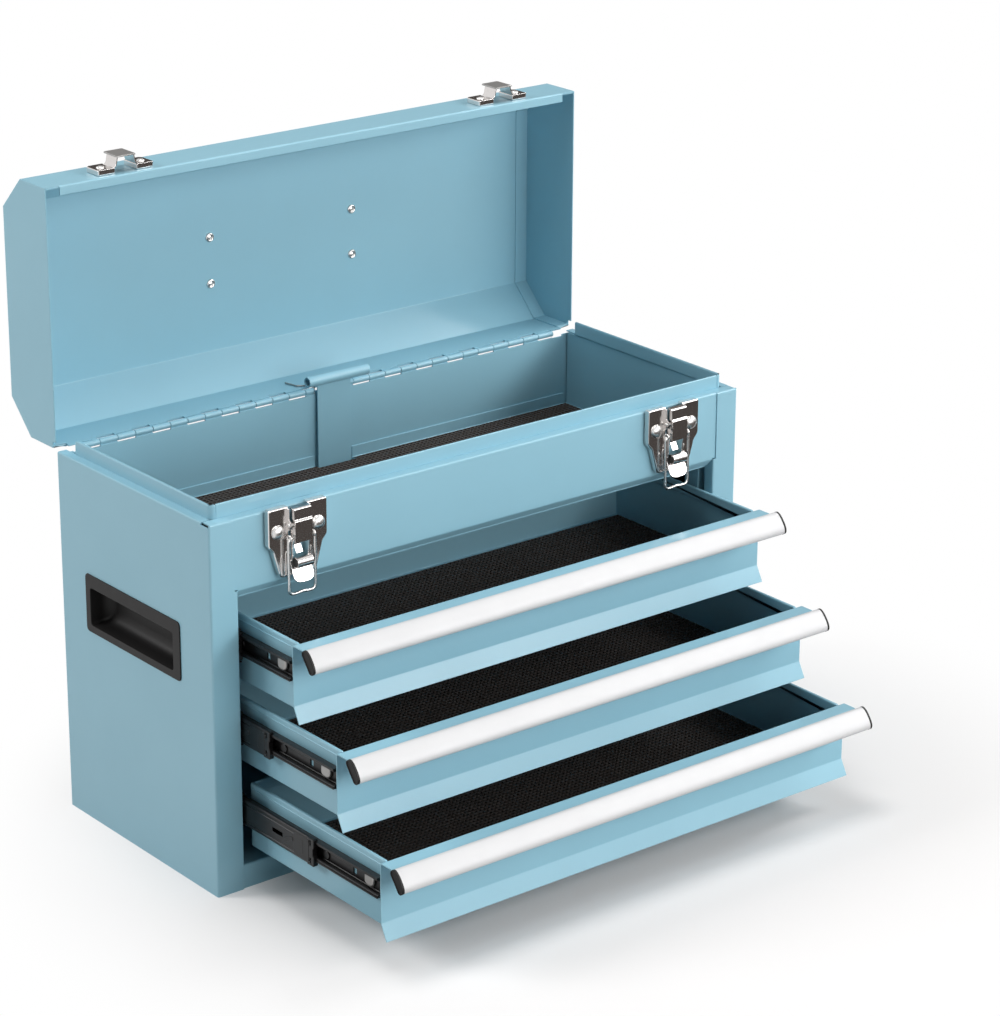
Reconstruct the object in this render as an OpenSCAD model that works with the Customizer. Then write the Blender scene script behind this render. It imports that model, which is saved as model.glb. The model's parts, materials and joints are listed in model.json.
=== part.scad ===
// Portable tool box: folded sheet-metal case with a lift-up lid, a top tray and
// three drawers on slides. Millimetres. Origin: centre of the case bottom, +Z up,
// the drawers open towards -Y. It is drawn with the lid open and the drawers out.

/* [Case] */
// Outside width of the case
width = 520; // [480:1:560]
// Outside depth of the case
depth = 208; // [190:1:230]
// Height of the shoulder the lid closes on
shoulder_z = 300; // [280:1:320]
// Thickness of the sheet
sheet = 1; // [0.8:0.1:1.6]
// Width of the front stile beside the drawers
stile = 24.4; // [18:0.1:30]
// Height of the bottom rail
rail_z = 19.5; // [12:0.5:30]
// Underside of the front fascia
fascia_z = 243.5; // [230:0.5:255]
// Top of the tray wall
rim_z = 311; // [305:0.5:320]
// Top of the tray floor
tray_z = 235; // [225:0.5:240]

/* [Lid] */
// Top of the closed lid
lid_top = 364; // [350:1:380]
// Run of the sloped lid edges
lid_slope = 27; // [15:1:40]
// Opening angle of the lid
lid_angle = 90; // [0:1:90]
// Lower edge of the closed lid
lid_low = 300.6; // [300.3:0.1:302]

/* [Drawers] */
// Top of the upper drawer
drawer_top = 219; // [210:1:225]
// Spacing of the drawers
drawer_pitch = 67; // [60:1:70]
// How far the upper drawer is drawn out
pull_out_1 = 78.8; // [0:0.1:183.5]
// How far the middle drawer is drawn out
pull_out_2 = 131.5; // [0:0.1:183.5]
// How far the lower drawer is drawn out
pull_out_3 = 183.5; // [0:0.1:183.5]
// Height of a drawer front down to its flare
front_flat = 48.2; // [40:0.1:55]
// Depth of a drawer pan
pan_depth = 170; // [150:1:175]

/* [Carry handle] */
// Height of the handle pivot over the closed lid
pivot_up = 13; // [12:0.5:16]
// Radius of the handle pins
rod_r = 3.5; // [2.5:0.1:4.5]

/* [Latches] */
// Distance of each latch from the middle
latch_x = 185.5; // [150:0.5:220]
// Reach of the wire bail from its pivot to the middle of its bar
bail_reach = 44.35; // [40:0.05:48]
// Radius of the bail wire
wire_r = 1.15; // [0.8:0.05:1.6]

/* [Hidden] */
$fn = 48;
hw = width / 2;
hd = depth / 2;
yf = -hd;
hinge_y = hd + 1.5;
hinge_z = shoulder_z - 0.5;
knuckle_r = 2.5;
open_x = hw - stile;
closed_y = yf + 17.5;
pivot_z = lid_top + pivot_up;
lever_y = -111.8;
lever_z = 288;
bail_y = -113.6;
bail_z = 278;
tray_x = hw - 8;
slide_drop = 21.5;
mid_front = [-100, -138, -192];
pull_out = [pull_out_1, pull_out_2, pull_out_3];
// knuckles along X: start and length of each, on the case and on the lid
case_left = [for (k = [0:6]) [-221.5 + 32.8 * k, k == 6 ? 8.7 : 16.4]];
lid_left = [for (k = [0:6]) [-237.9 + 32.8 * k, 16.4]];
case_right = [for (k = [0:6]) k == 0 ? [18, 5.6] : [7.2 + 32.8 * k, 16.4]];
lid_right = [for (k = [0:6]) [23.6 + 32.8 * k, 16.4]];

// ---- helpers ----
module box(x0, x1, y0, y1, z0, z1) translate([x0, y0, z0]) cube([x1 - x0, y1 - y0, z1 - z0]);
// a (y, z) outline drawn out along X
module along_x(x0, x1) translate([x0, 0, 0]) rotate([90, 0, 90]) linear_extrude(x1 - x0) children();
// an (x, z) outline drawn out along Y
module along_y(y0, y1) translate([0, y1, 0]) rotate([90, 0, 0]) linear_extrude(y1 - y0) children();
module along_z(z0, z1) translate([0, 0, z0]) linear_extrude(z1 - z0) children();
module both() {
    children();
    mirror([1, 0, 0]) children();
}
module at_latches() for (s = [-1, 1]) translate([s * latch_x, 0, 0]) children();
module lid_pose() translate([0, hinge_y, hinge_z]) rotate([-lid_angle, 0, 0])
    translate([0, -hinge_y, -hinge_z]) children();
module handle_pose() lid_pose() translate([0, 0, pivot_z]) rotate([-90, 0, 0])
    translate([0, 0, -pivot_z]) children();
module drawer_pose(i)
    translate([0, closed_y - pull_out[i - 1], drawer_top - drawer_pitch * (i - 1)]) children();
module drum(r, x0, x1, y, z) translate([x0, y, z]) rotate([0, 90, 0]) cylinder(r = r, h = x1 - x0);
module stub(r, y0, y1, x, z) translate([x, y1, z]) rotate([90, 0, 0]) cylinder(r = r, h = y1 - y0);
// a rounded rectangle with half sizes a, b
module rounded(a, b, r) {
    square([2 * a, 2 * b - 2 * r], center = true);
    square([2 * a - 2 * r, 2 * b], center = true);
    for (s = [-1, 1], t = [-1, 1]) translate([s * (a - r), t * (b - r)]) circle(r);
}
function unit(v) = v / norm(v);
function side(a, b) = let (d = unit(b - a)) [-d[1], d[0]];
function shifted(p, t) = [for (i = [0:len(p) - 1])
    let (m = i == 0 ? side(p[0], p[1]) : side(p[i - 1], p[i]),
        n = i == len(p) - 1 ? m : side(p[i], p[i + 1]), u = unit(m + n)) p[i] + u * t / (u * m)];
function turned(p) = [for (i = [len(p) - 1:-1:0]) p[i]];
// a folded sheet with its outer face on the line p
module folded(p, t) polygon(concat(p, turned(shifted(p, t))));
// a low dome on a face that looks along -Y
module dome(r, h, x, y, z) translate([x, y, z]) intersection() {
    translate([0, (r * r - h * h) / (2 * h), 0]) sphere(r = (r * r + h * h) / (2 * h));
    translate([-r, -h, -r]) cube([2 * r, h, 2 * r]);
}

// ---- case ----
pocket_y = 3.5;
pocket_z = 187;
module side_panel() color("LightSteelBlue") {
    difference() {
        union() {
            box(-hw, -hw + sheet, yf, hd, 0, shoulder_z);
            box(-hw, -open_x, yf, yf + sheet, 0, fascia_z);
            box(-hw, -238.5, yf, yf + sheet, fascia_z, shoulder_z);
            box(-open_x - sheet, -open_x, yf, yf + 16, sheet, tray_z - sheet);
            box(-open_x - sheet, -open_x, yf, yf + 10, sheet, fascia_z);
            box(-hw, -238.5, yf, yf + 10, shoulder_z - sheet, shoulder_z);
            box(-hw, -tray_x, yf, hd - sheet, shoulder_z - sheet, shoulder_z);
            box(-hw, -hw + 12, hd - 2 * sheet, hd - sheet, sheet, shoulder_z - sheet);
            along_z(shoulder_z - sheet, shoulder_z) difference() {
                translate([-tray_x - 1, yf + 9]) square([6, 6]);
                translate([-tray_x + 5, yf + 15]) circle(5);
            }
        }
        translate([-hw - 1, pocket_y, pocket_z]) rotate([90, 0, 90])
            linear_extrude(3) rounded(61.5, 21, 3);
        box(-hw - 1, -hw + sheet + 0.2, yf - 1, yf + 11, shoulder_z - 2.2, shoulder_z - 1);
        box(-hw + sheet, -hw + 14, hd - sheet, hd + 1, -1, shoulder_z + 1);
        box(-hw - 1, -hw + 3, hd - 3, hd + 1, shoulder_z - 2.2, shoulder_z + 1);
    }
}
module side_panel_left() side_panel();
module side_panel_right() mirror([1, 0, 0]) side_panel();
module back_panel() color("LightSteelBlue") difference() {
    box(-hw + sheet, hw - sheet, hd - sheet, hd, 0, shoulder_z);
    for (s = [-1, 1])
        box(s * 252.5 - 8.5, s * 252.5 + 8.5, hd - 2, hd + 1, shoulder_z - 2.2, shoulder_z + 1);
    for (r = [[-246, -15.8], [17.8, 246]])
        box(r[0], r[1], hd - 2, hd + 1, shoulder_z - 3, shoulder_z + 1);
    for (k = concat(lid_left, lid_right, [[236.8, 9.2]]))
        box(k[0], k[0] + k[1], hd - 2, hd + 1, shoulder_z - 3.9, shoulder_z + 1);
}
module bottom_panel() color("LightSteelBlue") box(-hw + sheet, hw - sheet, yf + 2, hd - 2 * sheet, 0, sheet);
module front_fascia() color("LightSteelBlue") {
    box(-238.5, 238.5, yf + 1, yf + 1 + sheet, fascia_z, shoulder_z);
    box(-238.5, 238.5, yf + 2, yf + 10, shoulder_z - sheet, shoulder_z);
    along_x(-open_x, open_x) polygon([[yf + 1, fascia_z + sheet], [yf + 1, fascia_z],
        [yf + 7, fascia_z - 6.6], [yf + 7.74, fascia_z - 5.93], [yf + 2, fascia_z + 0.4],
        [yf + 2, fascia_z + sheet]]);
}
module bottom_rail() color("LightSteelBlue") {
    box(-open_x, open_x, yf + 1, yf + 2, 0, rail_z);
    box(-open_x, open_x, yf + 2, yf + 22, rail_z - sheet, rail_z);
}
module lock_gap() box(-17, 19.5, hd - 7, hd - sheet + 1, tray_z - 3, tray_z + 20);
module tray_floor() color("LightSteelBlue") difference() {
    union() {
        box(-tray_x + 1, tray_x - 1, yf + 11, hd - 2 * sheet, tray_z - sheet, tray_z);
        box(-hw + 12, hw - 12, hd - 2 * sheet, hd - sheet, tray_z - sheet, tray_z + 9.5);
    }
    lock_gap();
    for (s = [-1, 1]) box(s * 250 - 2.1, s * 250 + 2.1, yf + 10, yf + 16, tray_z - 2, tray_z + 1);
}
module tray_wall_front() color("LightSteelBlue") {
    box(-tray_x + 5, tray_x - 5, yf + 10, yf + 11, tray_z - sheet, rim_z);
    box(-tray_x + 5, tray_x - 5, yf + 11, yf + 12, rim_z - 12, rim_z);
}
module tray_wall() color("LightSteelBlue") {
    box(-tray_x, -tray_x + 1, yf + 15, hd - 2 * sheet, tray_z - sheet, shoulder_z - 1);
    box(-tray_x, -tray_x + 2, yf + 15, 91, shoulder_z - 1, rim_z);
    along_z(tray_z - sheet, rim_z) intersection() {
        translate([-tray_x + 5, yf + 15]) difference() {
            circle(5);
            circle(4);
        }
        translate([-tray_x, yf + 10]) square([5, 5]);
    }
    along_z(rim_z - 12, rim_z) intersection() {
        translate([-tray_x + 5, yf + 15]) difference() {
            circle(5);
            circle(3);
        }
        translate([-tray_x, yf + 10]) square([5, 5]);
    }
}
module tray_wall_left() tray_wall();
module tray_wall_right() mirror([1, 0, 0]) tray_wall();
module tray_liner() color("DimGray") difference() {
    box(-tray_x + 2, tray_x - 2, yf + 17, hd - 3, tray_z, tray_z + 2);
    lock_gap();
}
module leaf_case(knuckles, gaps, x0, x1) difference() {
    union() {
        box(x0, x1, hd, hd + sheet, shoulder_z - 18, hinge_z);
        for (k = knuckles) drum(knuckle_r, k[0], k[0] + k[1], hinge_y, hinge_z);
    }
    for (k = gaps)
        box(k[0] - 0.15, k[0] + k[1] + 0.15, hd - 2, hd + 6, shoulder_z - 3.9, shoulder_z + 4);
    drum(1.35, x0 - 1, x1 + 1, hinge_y, hinge_z);
}
module hinge_leaf_case() color("LightSteelBlue") {
    leaf_case(case_left, lid_left, -237.9, -16);
    leaf_case(case_right, lid_right, 18, 236.8);
}
module support() color("LightSteelBlue") for (y = [-86, 88]) let (s = y < 0 ? 1 : -1) {
    box(-hw + sheet, -open_x, min(y, y + s * 1.2), max(y, y + s * 1.2), sheet, tray_z - sheet);
    box(-open_x - 1.2, -open_x, min(y, y + s * 16), max(y, y + s * 16), sheet, tray_z - sheet);
    box(-hw + sheet, -hw + 2.2, min(y, y + s * 16), max(y, y + s * 16), sheet, tray_z - sheet);
}
module slide_support_left() support();
module slide_support_right() mirror([1, 0, 0]) support();
// the two case members of one drawer's slides
module outer_members(i) color("DimGray")
    translate([0, 0, drawer_top - drawer_pitch * (i - 1) - slide_drop]) both() {
    box(234.6, open_x, -100, 91, -13.5, 13.5);
    box(230.8, 234.6, -100, 91, 12.4, 13.5);
    box(230.8, 234.6, -100, 91, -13.5, -12.4);
    box(232.2, 234.6, 89.6, 91, -12.4, 12.4);
}
module slide_outer_1() outer_members(1);
module slide_outer_2() outer_members(2);
module slide_outer_3() outer_members(3);
module grip_hole() translate([1.5, -2.3]) rounded(57.5, 15.6, 2.5);
module pocket_handle() color("DimGray") translate([0, pocket_y, pocket_z]) rotate([90, 0, 90]) {
    translate([0, 0, -hw - 1]) linear_extrude(1) difference() {
        rounded(65.5, 24, 3.5);
        grip_hole();
    }
    translate([0, 0, -hw]) linear_extrude(17) difference() {
        rounded(61.5, 21, 3);
        grip_hole();
    }
    translate([0, 0, -hw + 17]) linear_extrude(2) rounded(61.5, 21, 3);
}
module pocket_handle_left() pocket_handle();
module pocket_handle_right() mirror([1, 0, 0]) pocket_handle();

// ---- latches on the fascia ----
module latch_base() {
    difference() {
        along_y(-109.4, yf + 1) polygon([[-28.4, 299.9], [-28.4, 272.5], [-22.8, 266.5], [-19.5, 250],
            [-17, 244], [17, 244], [19.5, 250], [22.8, 266.5], [28.4, 272.5], [28.4, 299.9]]);
        along_y(-108.4, yf + 2) polygon([[-27.4, 298.9], [-27.4, 272.9], [-21.9, 267], [-18.6, 250.3],
            [-16.3, 245], [16.3, 245], [18.6, 250.3], [21.9, 267], [27.4, 272.9], [27.4, 298.9]]);
        box(-8.9, 8.9, -110.5, -100, 257, 301);
    }
    difference() {
        for (s = [-1, 1]) along_x(s * 9.6 - 0.6, s * 9.6 + 0.6) polygon([[-108.9, 262], [-109.4, 262],
            [-111.5, 266], [-111.5, 282.5], [-114.4, 285.5], [-114.4, 290.5], [-111.5, 296.5],
            [-109.4, 298.9], [-108.9, 298.9]]);
        drum(1.5, -12, 12, lever_y, lever_z);
    }
}
module latch_bases() color("Silver") at_latches() latch_base();
module latch_rivets() color("Gainsboro") at_latches()
    for (s = [-1, 1]) dome(5.6, 3.2, s * 18.4, -109.4, 281.5);
module lever_pins() color("Gainsboro") at_latches() drum(1.5, -10.2, 10.2, lever_y, lever_z);
module latch_lever() color("Silver") difference() {
    union() {
        for (s = [-1, 1]) along_x(s * 7.9 - 0.6, s * 7.9 + 0.6) polygon([[-116.6, 275], [-116.6, 292],
            [-113.4, 301], [-111.4, 301], [-109.2, 292], [-108.6, 284], [-110.4, 274], [-110.4, 261],
            [-114, 261], [-115.6, 266]]);
        along_x(-8.5, 8.5) polygon([[-117, 275], [-117, 292], [-113.8, 301.1], [-110.6, 301.1],
            [-110.6, 300.1], [-113.1, 300.1], [-116, 291.8], [-116, 275]]);
        drum(4, -8.25, 8.25, -112, 261);
        along_y(-113.4, -112.2) {
            translate([-8.5, 247]) square([17, 11.5]);
            translate([-5.5, 244]) square([11, 6]);
            for (s = [-1, 1]) translate([s * 5.5, 247]) circle(3);
        }
    }
    drum(3, -9, 9, -112, 261);
    drum(1.6, -9, 9, lever_y, lever_z);
    drum(wire_r + 0.1, -9, 9, bail_y, bail_z);
}
module latch_lever_left() translate([-latch_x, 0, 0]) latch_lever();
module latch_lever_right() translate([latch_x, 0, 0]) latch_lever();
module latch_bail() color("Gainsboro") {
    both() {
        drum(wire_r, 6.6, 8.9, bail_y, bail_z);
        translate([8.9, bail_y, bail_z - 3.1]) rotate([90, 0, 0]) rotate_extrude(angle = 90)
            translate([3.1, 0]) circle(wire_r);
        translate([12, bail_y, bail_z - bail_reach + 4]) cylinder(r = wire_r, h = bail_reach - 7.1);
        translate([8, bail_y, bail_z - bail_reach + 4]) rotate([90, 0, 0]) rotate_extrude(angle = -90)
            translate([4, 0]) circle(wire_r);
    }
    drum(wire_r, -8, 8, bail_y, bail_z - bail_reach);
}
module latch_bail_left() translate([-latch_x, 0, 0]) latch_bail();
module latch_bail_right() translate([latch_x, 0, 0]) latch_bail();

// ---- lid, drawn closed and turned about its hinge ----
lid_line = [[yf, lid_low], [yf, lid_top - lid_slope], [yf + lid_slope, lid_top],
    [hd - lid_slope, lid_top], [hd, lid_top - lid_slope], [hd, lid_low]];
module lid_shell() color("LightSteelBlue") lid_pose() difference() {
    union() {
        along_x(-hw + sheet, hw - sheet) folded(lid_line, -sheet);
        box(-246.8, 246.8, yf + sheet, yf + 7.5, lid_low, lid_low + sheet);
    }
    for (s = [-1, 1]) box(s * 254 - 6, s * 254 + 6, hd - 3, hd + 1, lid_low - 1, lid_low + 4);
    for (k = concat(lid_left, lid_right)) box(k[0], k[0] + k[1], hd - 2, hd + 1, lid_low - 1, 302.1);
    for (k = concat(case_left, case_right))
        box(k[0] - 0.15, k[0] + k[1] + (k[1] == 8.7 ? 3 : 0.15), hd - 2, hd + 1, lid_low - 1, 305);
    for (s = [-1, 1], t = [-1, 1]) translate([s * 71, t * 19.5, lid_top - 2]) cylinder(r = 2, h = 3);
}
module lid_end() color("LightSteelBlue") lid_pose() difference() {
    union() {
        along_x(-hw, -hw + sheet) polygon(lid_line);
        along_x(-hw + sheet, -hw + 13) folded(shifted(lid_line, -sheet), -sheet);
    }
    box(-hw - 1, -hw + 15, hd - 5, hd + 1, lid_low - 1, lid_low + 4);
}
module lid_end_left() lid_end();
module lid_end_right() mirror([1, 0, 0]) lid_end();
module leaf_lid(knuckles, gaps, x0, x1) difference() {
    union() {
        box(x0, x1, hd, hd + sheet, hinge_z, shoulder_z + 18);
        for (k = knuckles) drum(knuckle_r, k[0], k[0] + k[1], hinge_y, hinge_z);
    }
    for (k = gaps) box(k[0] - 0.15, k[0] + k[1] + 0.15, hd - 2, hd + 6, shoulder_z - 4, 305);
    drum(1.35, x0 - 1, x1 + 1, hinge_y, hinge_z);
}
module hinge_leaf_lid() color("LightSteelBlue") lid_pose() {
    leaf_lid(lid_left, case_left, -237.9, -16);
    leaf_lid(lid_right, case_right, 18, 236.8);
}
// a round wire between two points
module wire(a, b, r) let (d = b - a) translate(a) rotate([0, acos(d[2] / norm(d)), atan2(d[1], d[0])])
    cylinder(r = r, h = norm(d));
module hinge_pins() color("Gray") lid_pose() {
    tail = [[-14.8, hinge_y, hinge_z], [-14.8, hd - 1.8, 303.6], [-25, hd - 1.8, 309], [-28, hd - 1.8, 322]];
    drum(1.25, -237.7, -14, hinge_y, hinge_z);
    drum(1.25, 18.2, 236.6, hinge_y, hinge_z);
    for (i = [0:2]) wire(tail[i], tail[i + 1], 0.6);
    for (i = [1, 2]) translate(tail[i]) sphere(0.7);
}
module catch() {
    difference() {
        along_y(-108, yf) polygon([[-25, 305], [-23.5, 303.5], [23.5, 303.5], [25, 305], [25, 317.5],
            [22, 320.5], [-22, 320.5], [-25, 317.5]]);
        along_y(-107, yf + 1) polygon([[-24, 305.4], [-23.1, 304.5], [23.1, 304.5], [24, 305.4],
            [24, 317.1], [21.6, 319.5], [-21.6, 319.5], [-24, 317.1]]);
        box(-6.6, 6.6, -109, yf + 1, 300, 325);
    }
    for (s = [-1, 1]) along_x(s * 7.175 - 0.575, s * 7.175 + 0.575) polygon([[-107, 304.5], [-116.8, 304.5],
        [-116.8, 320.5], [-107, 320.5]]);
    along_x(-7.75, 7.75) polygon([[-116.3, 304.5], [-117.5, 304.5], [-117.5, 323.4], [-116.9, 324],
        [-116.3, 324]]);
}
module lid_catches() color("Silver") lid_pose() at_latches() catch();
module catch_rivets() color("Gainsboro") lid_pose() at_latches()
    for (s = [-1, 1]) dome(4, 1.8, s * 17.8, -108, 312);

// ---- carry handle ----
module bracket() difference() {
    union() {
        drum(5.75, 41, 79, 0, pivot_z);
        for (s = [0, 1]) mirror([0, s, 0]) along_x(41, 79)
            folded([[-26, lid_top + 1.5], [-9.3, lid_top + 1.5], [-5.6, pivot_z - 1]], -1.5);
    }
    drum(rod_r + 0.1, 40, 80, 0, pivot_z);
    for (t = [-1, 1]) translate([71, t * 19.5, lid_top - 1]) cylinder(r = 2, h = 4);
}
module handle_brackets() color("Silver") lid_pose() both() bracket();
module handle_rivets() color("Gainsboro") lid_pose()
    for (s = [-1, 1], t = [-1, 1]) translate([s * 71, t * 19.5, 0]) {
    translate([0, 0, lid_top - 1]) cylinder(r = 2, h = 2.5);
    translate([0, 0, lid_top + 1.5]) cylinder(r = 3.6, h = 1.2);
    translate([0, 0, lid_top - 2.4]) difference() {
        cylinder(r = 4, h = 1.4);
        translate([0, 0, -1]) cylinder(r = 1.6, h = 2);
    }
}
grip_outer = [[-103.5, 360, 0], [-103.5, 381, 14], [-68, 443, 26], [68, 443, 26], [104.5, 381, 14],
    [104.5, 360, 0]];
grip_inner = [[82, 360, 0], [82, 390, 14], [65, 415, 16], [-63.5, 415, 16], [-81, 389, 14], [-81, 360, 0]];
// the points of a corner b rounded to radius b[2], between its neighbours a and c
function corner(a, b, c) = let (p = [b[0], b[1]], u = unit([a[0], a[1]] - p), v = unit([c[0], c[1]] - p),
    h = acos(u * v) / 2, m = p + unit(u + v) * b[2] / sin(h), w = -unit(u + v),
    s = sign(u[0] * v[1] - u[1] * v[0])) b[2] == 0 ? [p] : [for (k = [-4:4]) let (t = -s * k * (90 - h) / 4)
        m + b[2] * [w[0] * cos(t) - w[1] * sin(t), w[0] * sin(t) + w[1] * cos(t)]];
function smooth(p) = let (n = len(p))
    [for (i = [0:n - 1]) each corner(p[(i + n - 1) % n], p[i], p[(i + 1) % n])];
module handle_grip() color("DimGray") handle_pose() difference() {
    intersection() {
        along_y(-12, 12) difference() {
            polygon(smooth(grip_outer));
            difference() {
                polygon(smooth(grip_inner));
                // a shallow swell for the fingers
                translate([-10, 413.4 + 220]) circle(220, $fn = 240);
            }
        }
        along_x(-110, 110) {
            translate([0, pivot_z]) circle(11);
            translate([-11, pivot_z]) square([22, 55]);
            translate([0, pivot_z + 55]) circle(11);
        }
    }
    for (s = [-1, 1]) drum(rod_r, s * 89 - 10, s * 89 + 10, 0, pivot_z);
}
module handle_pins() color("Silver") handle_pose()
    for (s = [-1, 1]) drum(rod_r, s * 71 - 28, s * 71 + 28, 0, pivot_z);

// ---- drawers: Y from the front face, Z from the top ----
front_line = [[-21.63, -12.03], [-13.01, -1], [0, -1], [0, -front_flat], [-6.7, -front_flat - 12.5]];
module drawer_pan() color("LightSteelBlue") difference() {
    union() {
        difference() {
            box(-226, 226, 1, pan_depth, -53, 0);
            box(-225, 225, 2, pan_depth - 1, -52, 1);
        }
        for (s = [-1, 1]) box(s * 224.5 - 1.5, s * 224.5 + 1.5, 2, pan_depth, -9.5, 0);
        box(-226, 226, pan_depth - 3, pan_depth, -9.5, 0);
        box(-9, 11, pan_depth, pan_depth + 7.7, -14, -13);
        box(-9, 11, pan_depth + 6.5, pan_depth + 7.7, -14, -4);
    }
    box(-223, 223, 0, 2.5, -12, 1);
}
module drawer_front() color("LightSteelBlue") along_x(-230.4, 230.4) folded(front_line, 1);
module drawer_pull() color("Gainsboro") pull_body(231.5, 3.25);
// an oval bar along the sloped edge of the front
module pull_body(l, r) along_x(-l, l) translate([-22.22, -5.88]) rotate(52) {
    square([12.5, 2 * r], center = true);
    for (s = [-1, 1]) translate([s * 6.25, 0]) circle(r);
}
module pull_caps() color("DimGray") difference() {
    pull_body(233.5, 3.4);
    pull_body(231.5, 4);
}
module drawer_liner() color("DimGray") box(-224.5, 224.5, 3, pan_depth - 4, -52, -50.2);
module slide_inner() color("DimGray") translate([0, 0, -slide_drop]) difference() {
    both() {
        box(226, 227.2, 2, pan_depth - 2, -9.2, 9.2);
        box(227.2, 232.6, 2, pan_depth - 2, 8, 9.2);
        box(227.2, 232.6, 2, pan_depth - 2, -9.2, -8);
        box(227.2, 230.2, 12.6, 24.8, -5.2, 5.2);
    }
    both() box(225, 228, 34.3, 37.7, -3.4, 3.4);
}
// the two middle members of one drawer's slides
module middle_members(i) color("DimGray")
    translate([0, mid_front[i - 1], drawer_top - drawer_pitch * (i - 1) - slide_drop]) difference() {
    both() {
        box(233.2, 234.2, 0, 150, -11.15, 11.15);
        box(230.8, 233.2, 0, 150, 10.1, 11.15);
        box(230.8, 233.2, 0, 150, -11.15, -10.1);
    }
    both() {
        box(232, 235, 30, 46, -2.2, 2.2);
        drum(2.2, 232, 235, 54, 0);
    }
}
module drawer_pan_1() drawer_pose(1) drawer_pan();
module drawer_front_1() drawer_pose(1) drawer_front();
module drawer_pull_1() drawer_pose(1) drawer_pull();
module pull_caps_1() drawer_pose(1) pull_caps();
module drawer_liner_1() drawer_pose(1) drawer_liner();
module slide_inner_1() drawer_pose(1) slide_inner();
module drawer_pan_2() drawer_pose(2) drawer_pan();
module drawer_front_2() drawer_pose(2) drawer_front();
module drawer_pull_2() drawer_pose(2) drawer_pull();
module pull_caps_2() drawer_pose(2) pull_caps();
module drawer_liner_2() drawer_pose(2) drawer_liner();
module slide_inner_2() drawer_pose(2) slide_inner();
module drawer_pan_3() drawer_pose(3) drawer_pan();
module drawer_front_3() drawer_pose(3) drawer_front();
module drawer_pull_3() drawer_pose(3) drawer_pull();
module pull_caps_3() drawer_pose(3) pull_caps();
module drawer_liner_3() drawer_pose(3) drawer_liner();
module slide_inner_3() drawer_pose(3) slide_inner();
module slide_middle_1() middle_members(1);
module slide_middle_2() middle_members(2);
module slide_middle_3() middle_members(3);

// ---- drawer lock behind the tray ----
module lock_plate() color("LightSteelBlue") difference() {
    union() {
        box(-15.5, 18, 99.8, 101, 80, 310);
        drum(4.4, -27.7, 32.9, 97, 310.8);
        for (i = [0:2]) translate([0, 0, drawer_top - drawer_pitch * i]) {
            box(-8, 10, 86, 99.8, 4.5, 6);
            box(-8, 10, 86, 87.5, -2.5, 4.5);
        }
    }
    drum(3.1, -29, 34, 97, 310.8);
}

// ---- parts ----
side_panel_left();
side_panel_right();
back_panel();
bottom_panel();
front_fascia();
bottom_rail();
tray_floor();
tray_wall_front();
tray_wall_left();
tray_wall_right();
tray_liner();
hinge_leaf_case();
slide_support_left();
slide_support_right();
slide_outer_1();
slide_outer_2();
slide_outer_3();
pocket_handle_left();
pocket_handle_right();
latch_bases();
latch_rivets();
lever_pins();
lid_shell();
lid_end_left();
lid_end_right();
hinge_leaf_lid();
hinge_pins();
lid_catches();
catch_rivets();
handle_brackets();
handle_rivets();
handle_grip();
handle_pins();
drawer_pan_1();
drawer_front_1();
drawer_pull_1();
pull_caps_1();
drawer_liner_1();
slide_inner_1();
drawer_pan_2();
drawer_front_2();
drawer_pull_2();
pull_caps_2();
drawer_liner_2();
slide_inner_2();
drawer_pan_3();
drawer_front_3();
drawer_pull_3();
pull_caps_3();
drawer_liner_3();
slide_inner_3();
slide_middle_1();
slide_middle_2();
slide_middle_3();
latch_lever_left();
latch_lever_right();
latch_bail_left();
latch_bail_right();
lock_plate();
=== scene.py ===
import json
import math
import bmesh
import bpy
from mathutils import Matrix, Vector


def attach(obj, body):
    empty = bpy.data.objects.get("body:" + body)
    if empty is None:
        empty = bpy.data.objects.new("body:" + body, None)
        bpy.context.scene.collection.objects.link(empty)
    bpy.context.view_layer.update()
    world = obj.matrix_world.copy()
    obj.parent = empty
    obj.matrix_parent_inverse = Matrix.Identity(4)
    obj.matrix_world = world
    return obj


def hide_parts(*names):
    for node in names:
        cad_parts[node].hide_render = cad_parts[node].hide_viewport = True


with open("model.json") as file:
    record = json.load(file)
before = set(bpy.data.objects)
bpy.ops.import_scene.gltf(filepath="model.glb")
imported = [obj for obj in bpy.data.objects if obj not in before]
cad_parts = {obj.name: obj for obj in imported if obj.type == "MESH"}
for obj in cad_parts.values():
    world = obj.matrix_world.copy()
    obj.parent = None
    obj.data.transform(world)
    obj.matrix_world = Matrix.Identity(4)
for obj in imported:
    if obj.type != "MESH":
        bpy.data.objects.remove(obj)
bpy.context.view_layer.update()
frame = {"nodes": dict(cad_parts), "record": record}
nodes = frame["nodes"]
mm = 0.001


def deselectAll():
    if bpy.context.object and bpy.context.object.mode != "OBJECT":
        bpy.ops.object.mode_set(mode="OBJECT")
    bpy.ops.object.select_all(action="DESELECT")


def newest(name):
    piece = bpy.context.object
    piece.name = name
    return piece


def activate(piece):
    deselectAll()
    piece.select_set(True)
    bpy.context.view_layer.objects.active = piece


def startEdit(piece, kind="VERT"):
    activate(piece)
    bpy.ops.object.mode_set(mode="EDIT")
    bpy.ops.mesh.select_mode(type=kind)


def endEdit():
    bpy.ops.object.mode_set(mode="OBJECT")


def selectAll():
    bpy.ops.mesh.select_all(action="SELECT")


def faceOutward():
    selectAll()
    bpy.ops.mesh.normals_make_consistent(inside=False)


def applyPlace(piece, matrix=None):
    # puts the object's place into its mesh, in metres
    activate(piece)
    if matrix is not None:
        piece.matrix_world = matrix @ piece.matrix_world
    bpy.ops.object.transform_apply(location=True, rotation=True, scale=True)


def applyModifiers(piece):
    activate(piece)
    for modifier in list(piece.modifiers):
        bpy.ops.object.modifier_apply(modifier=modifier.name)


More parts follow.
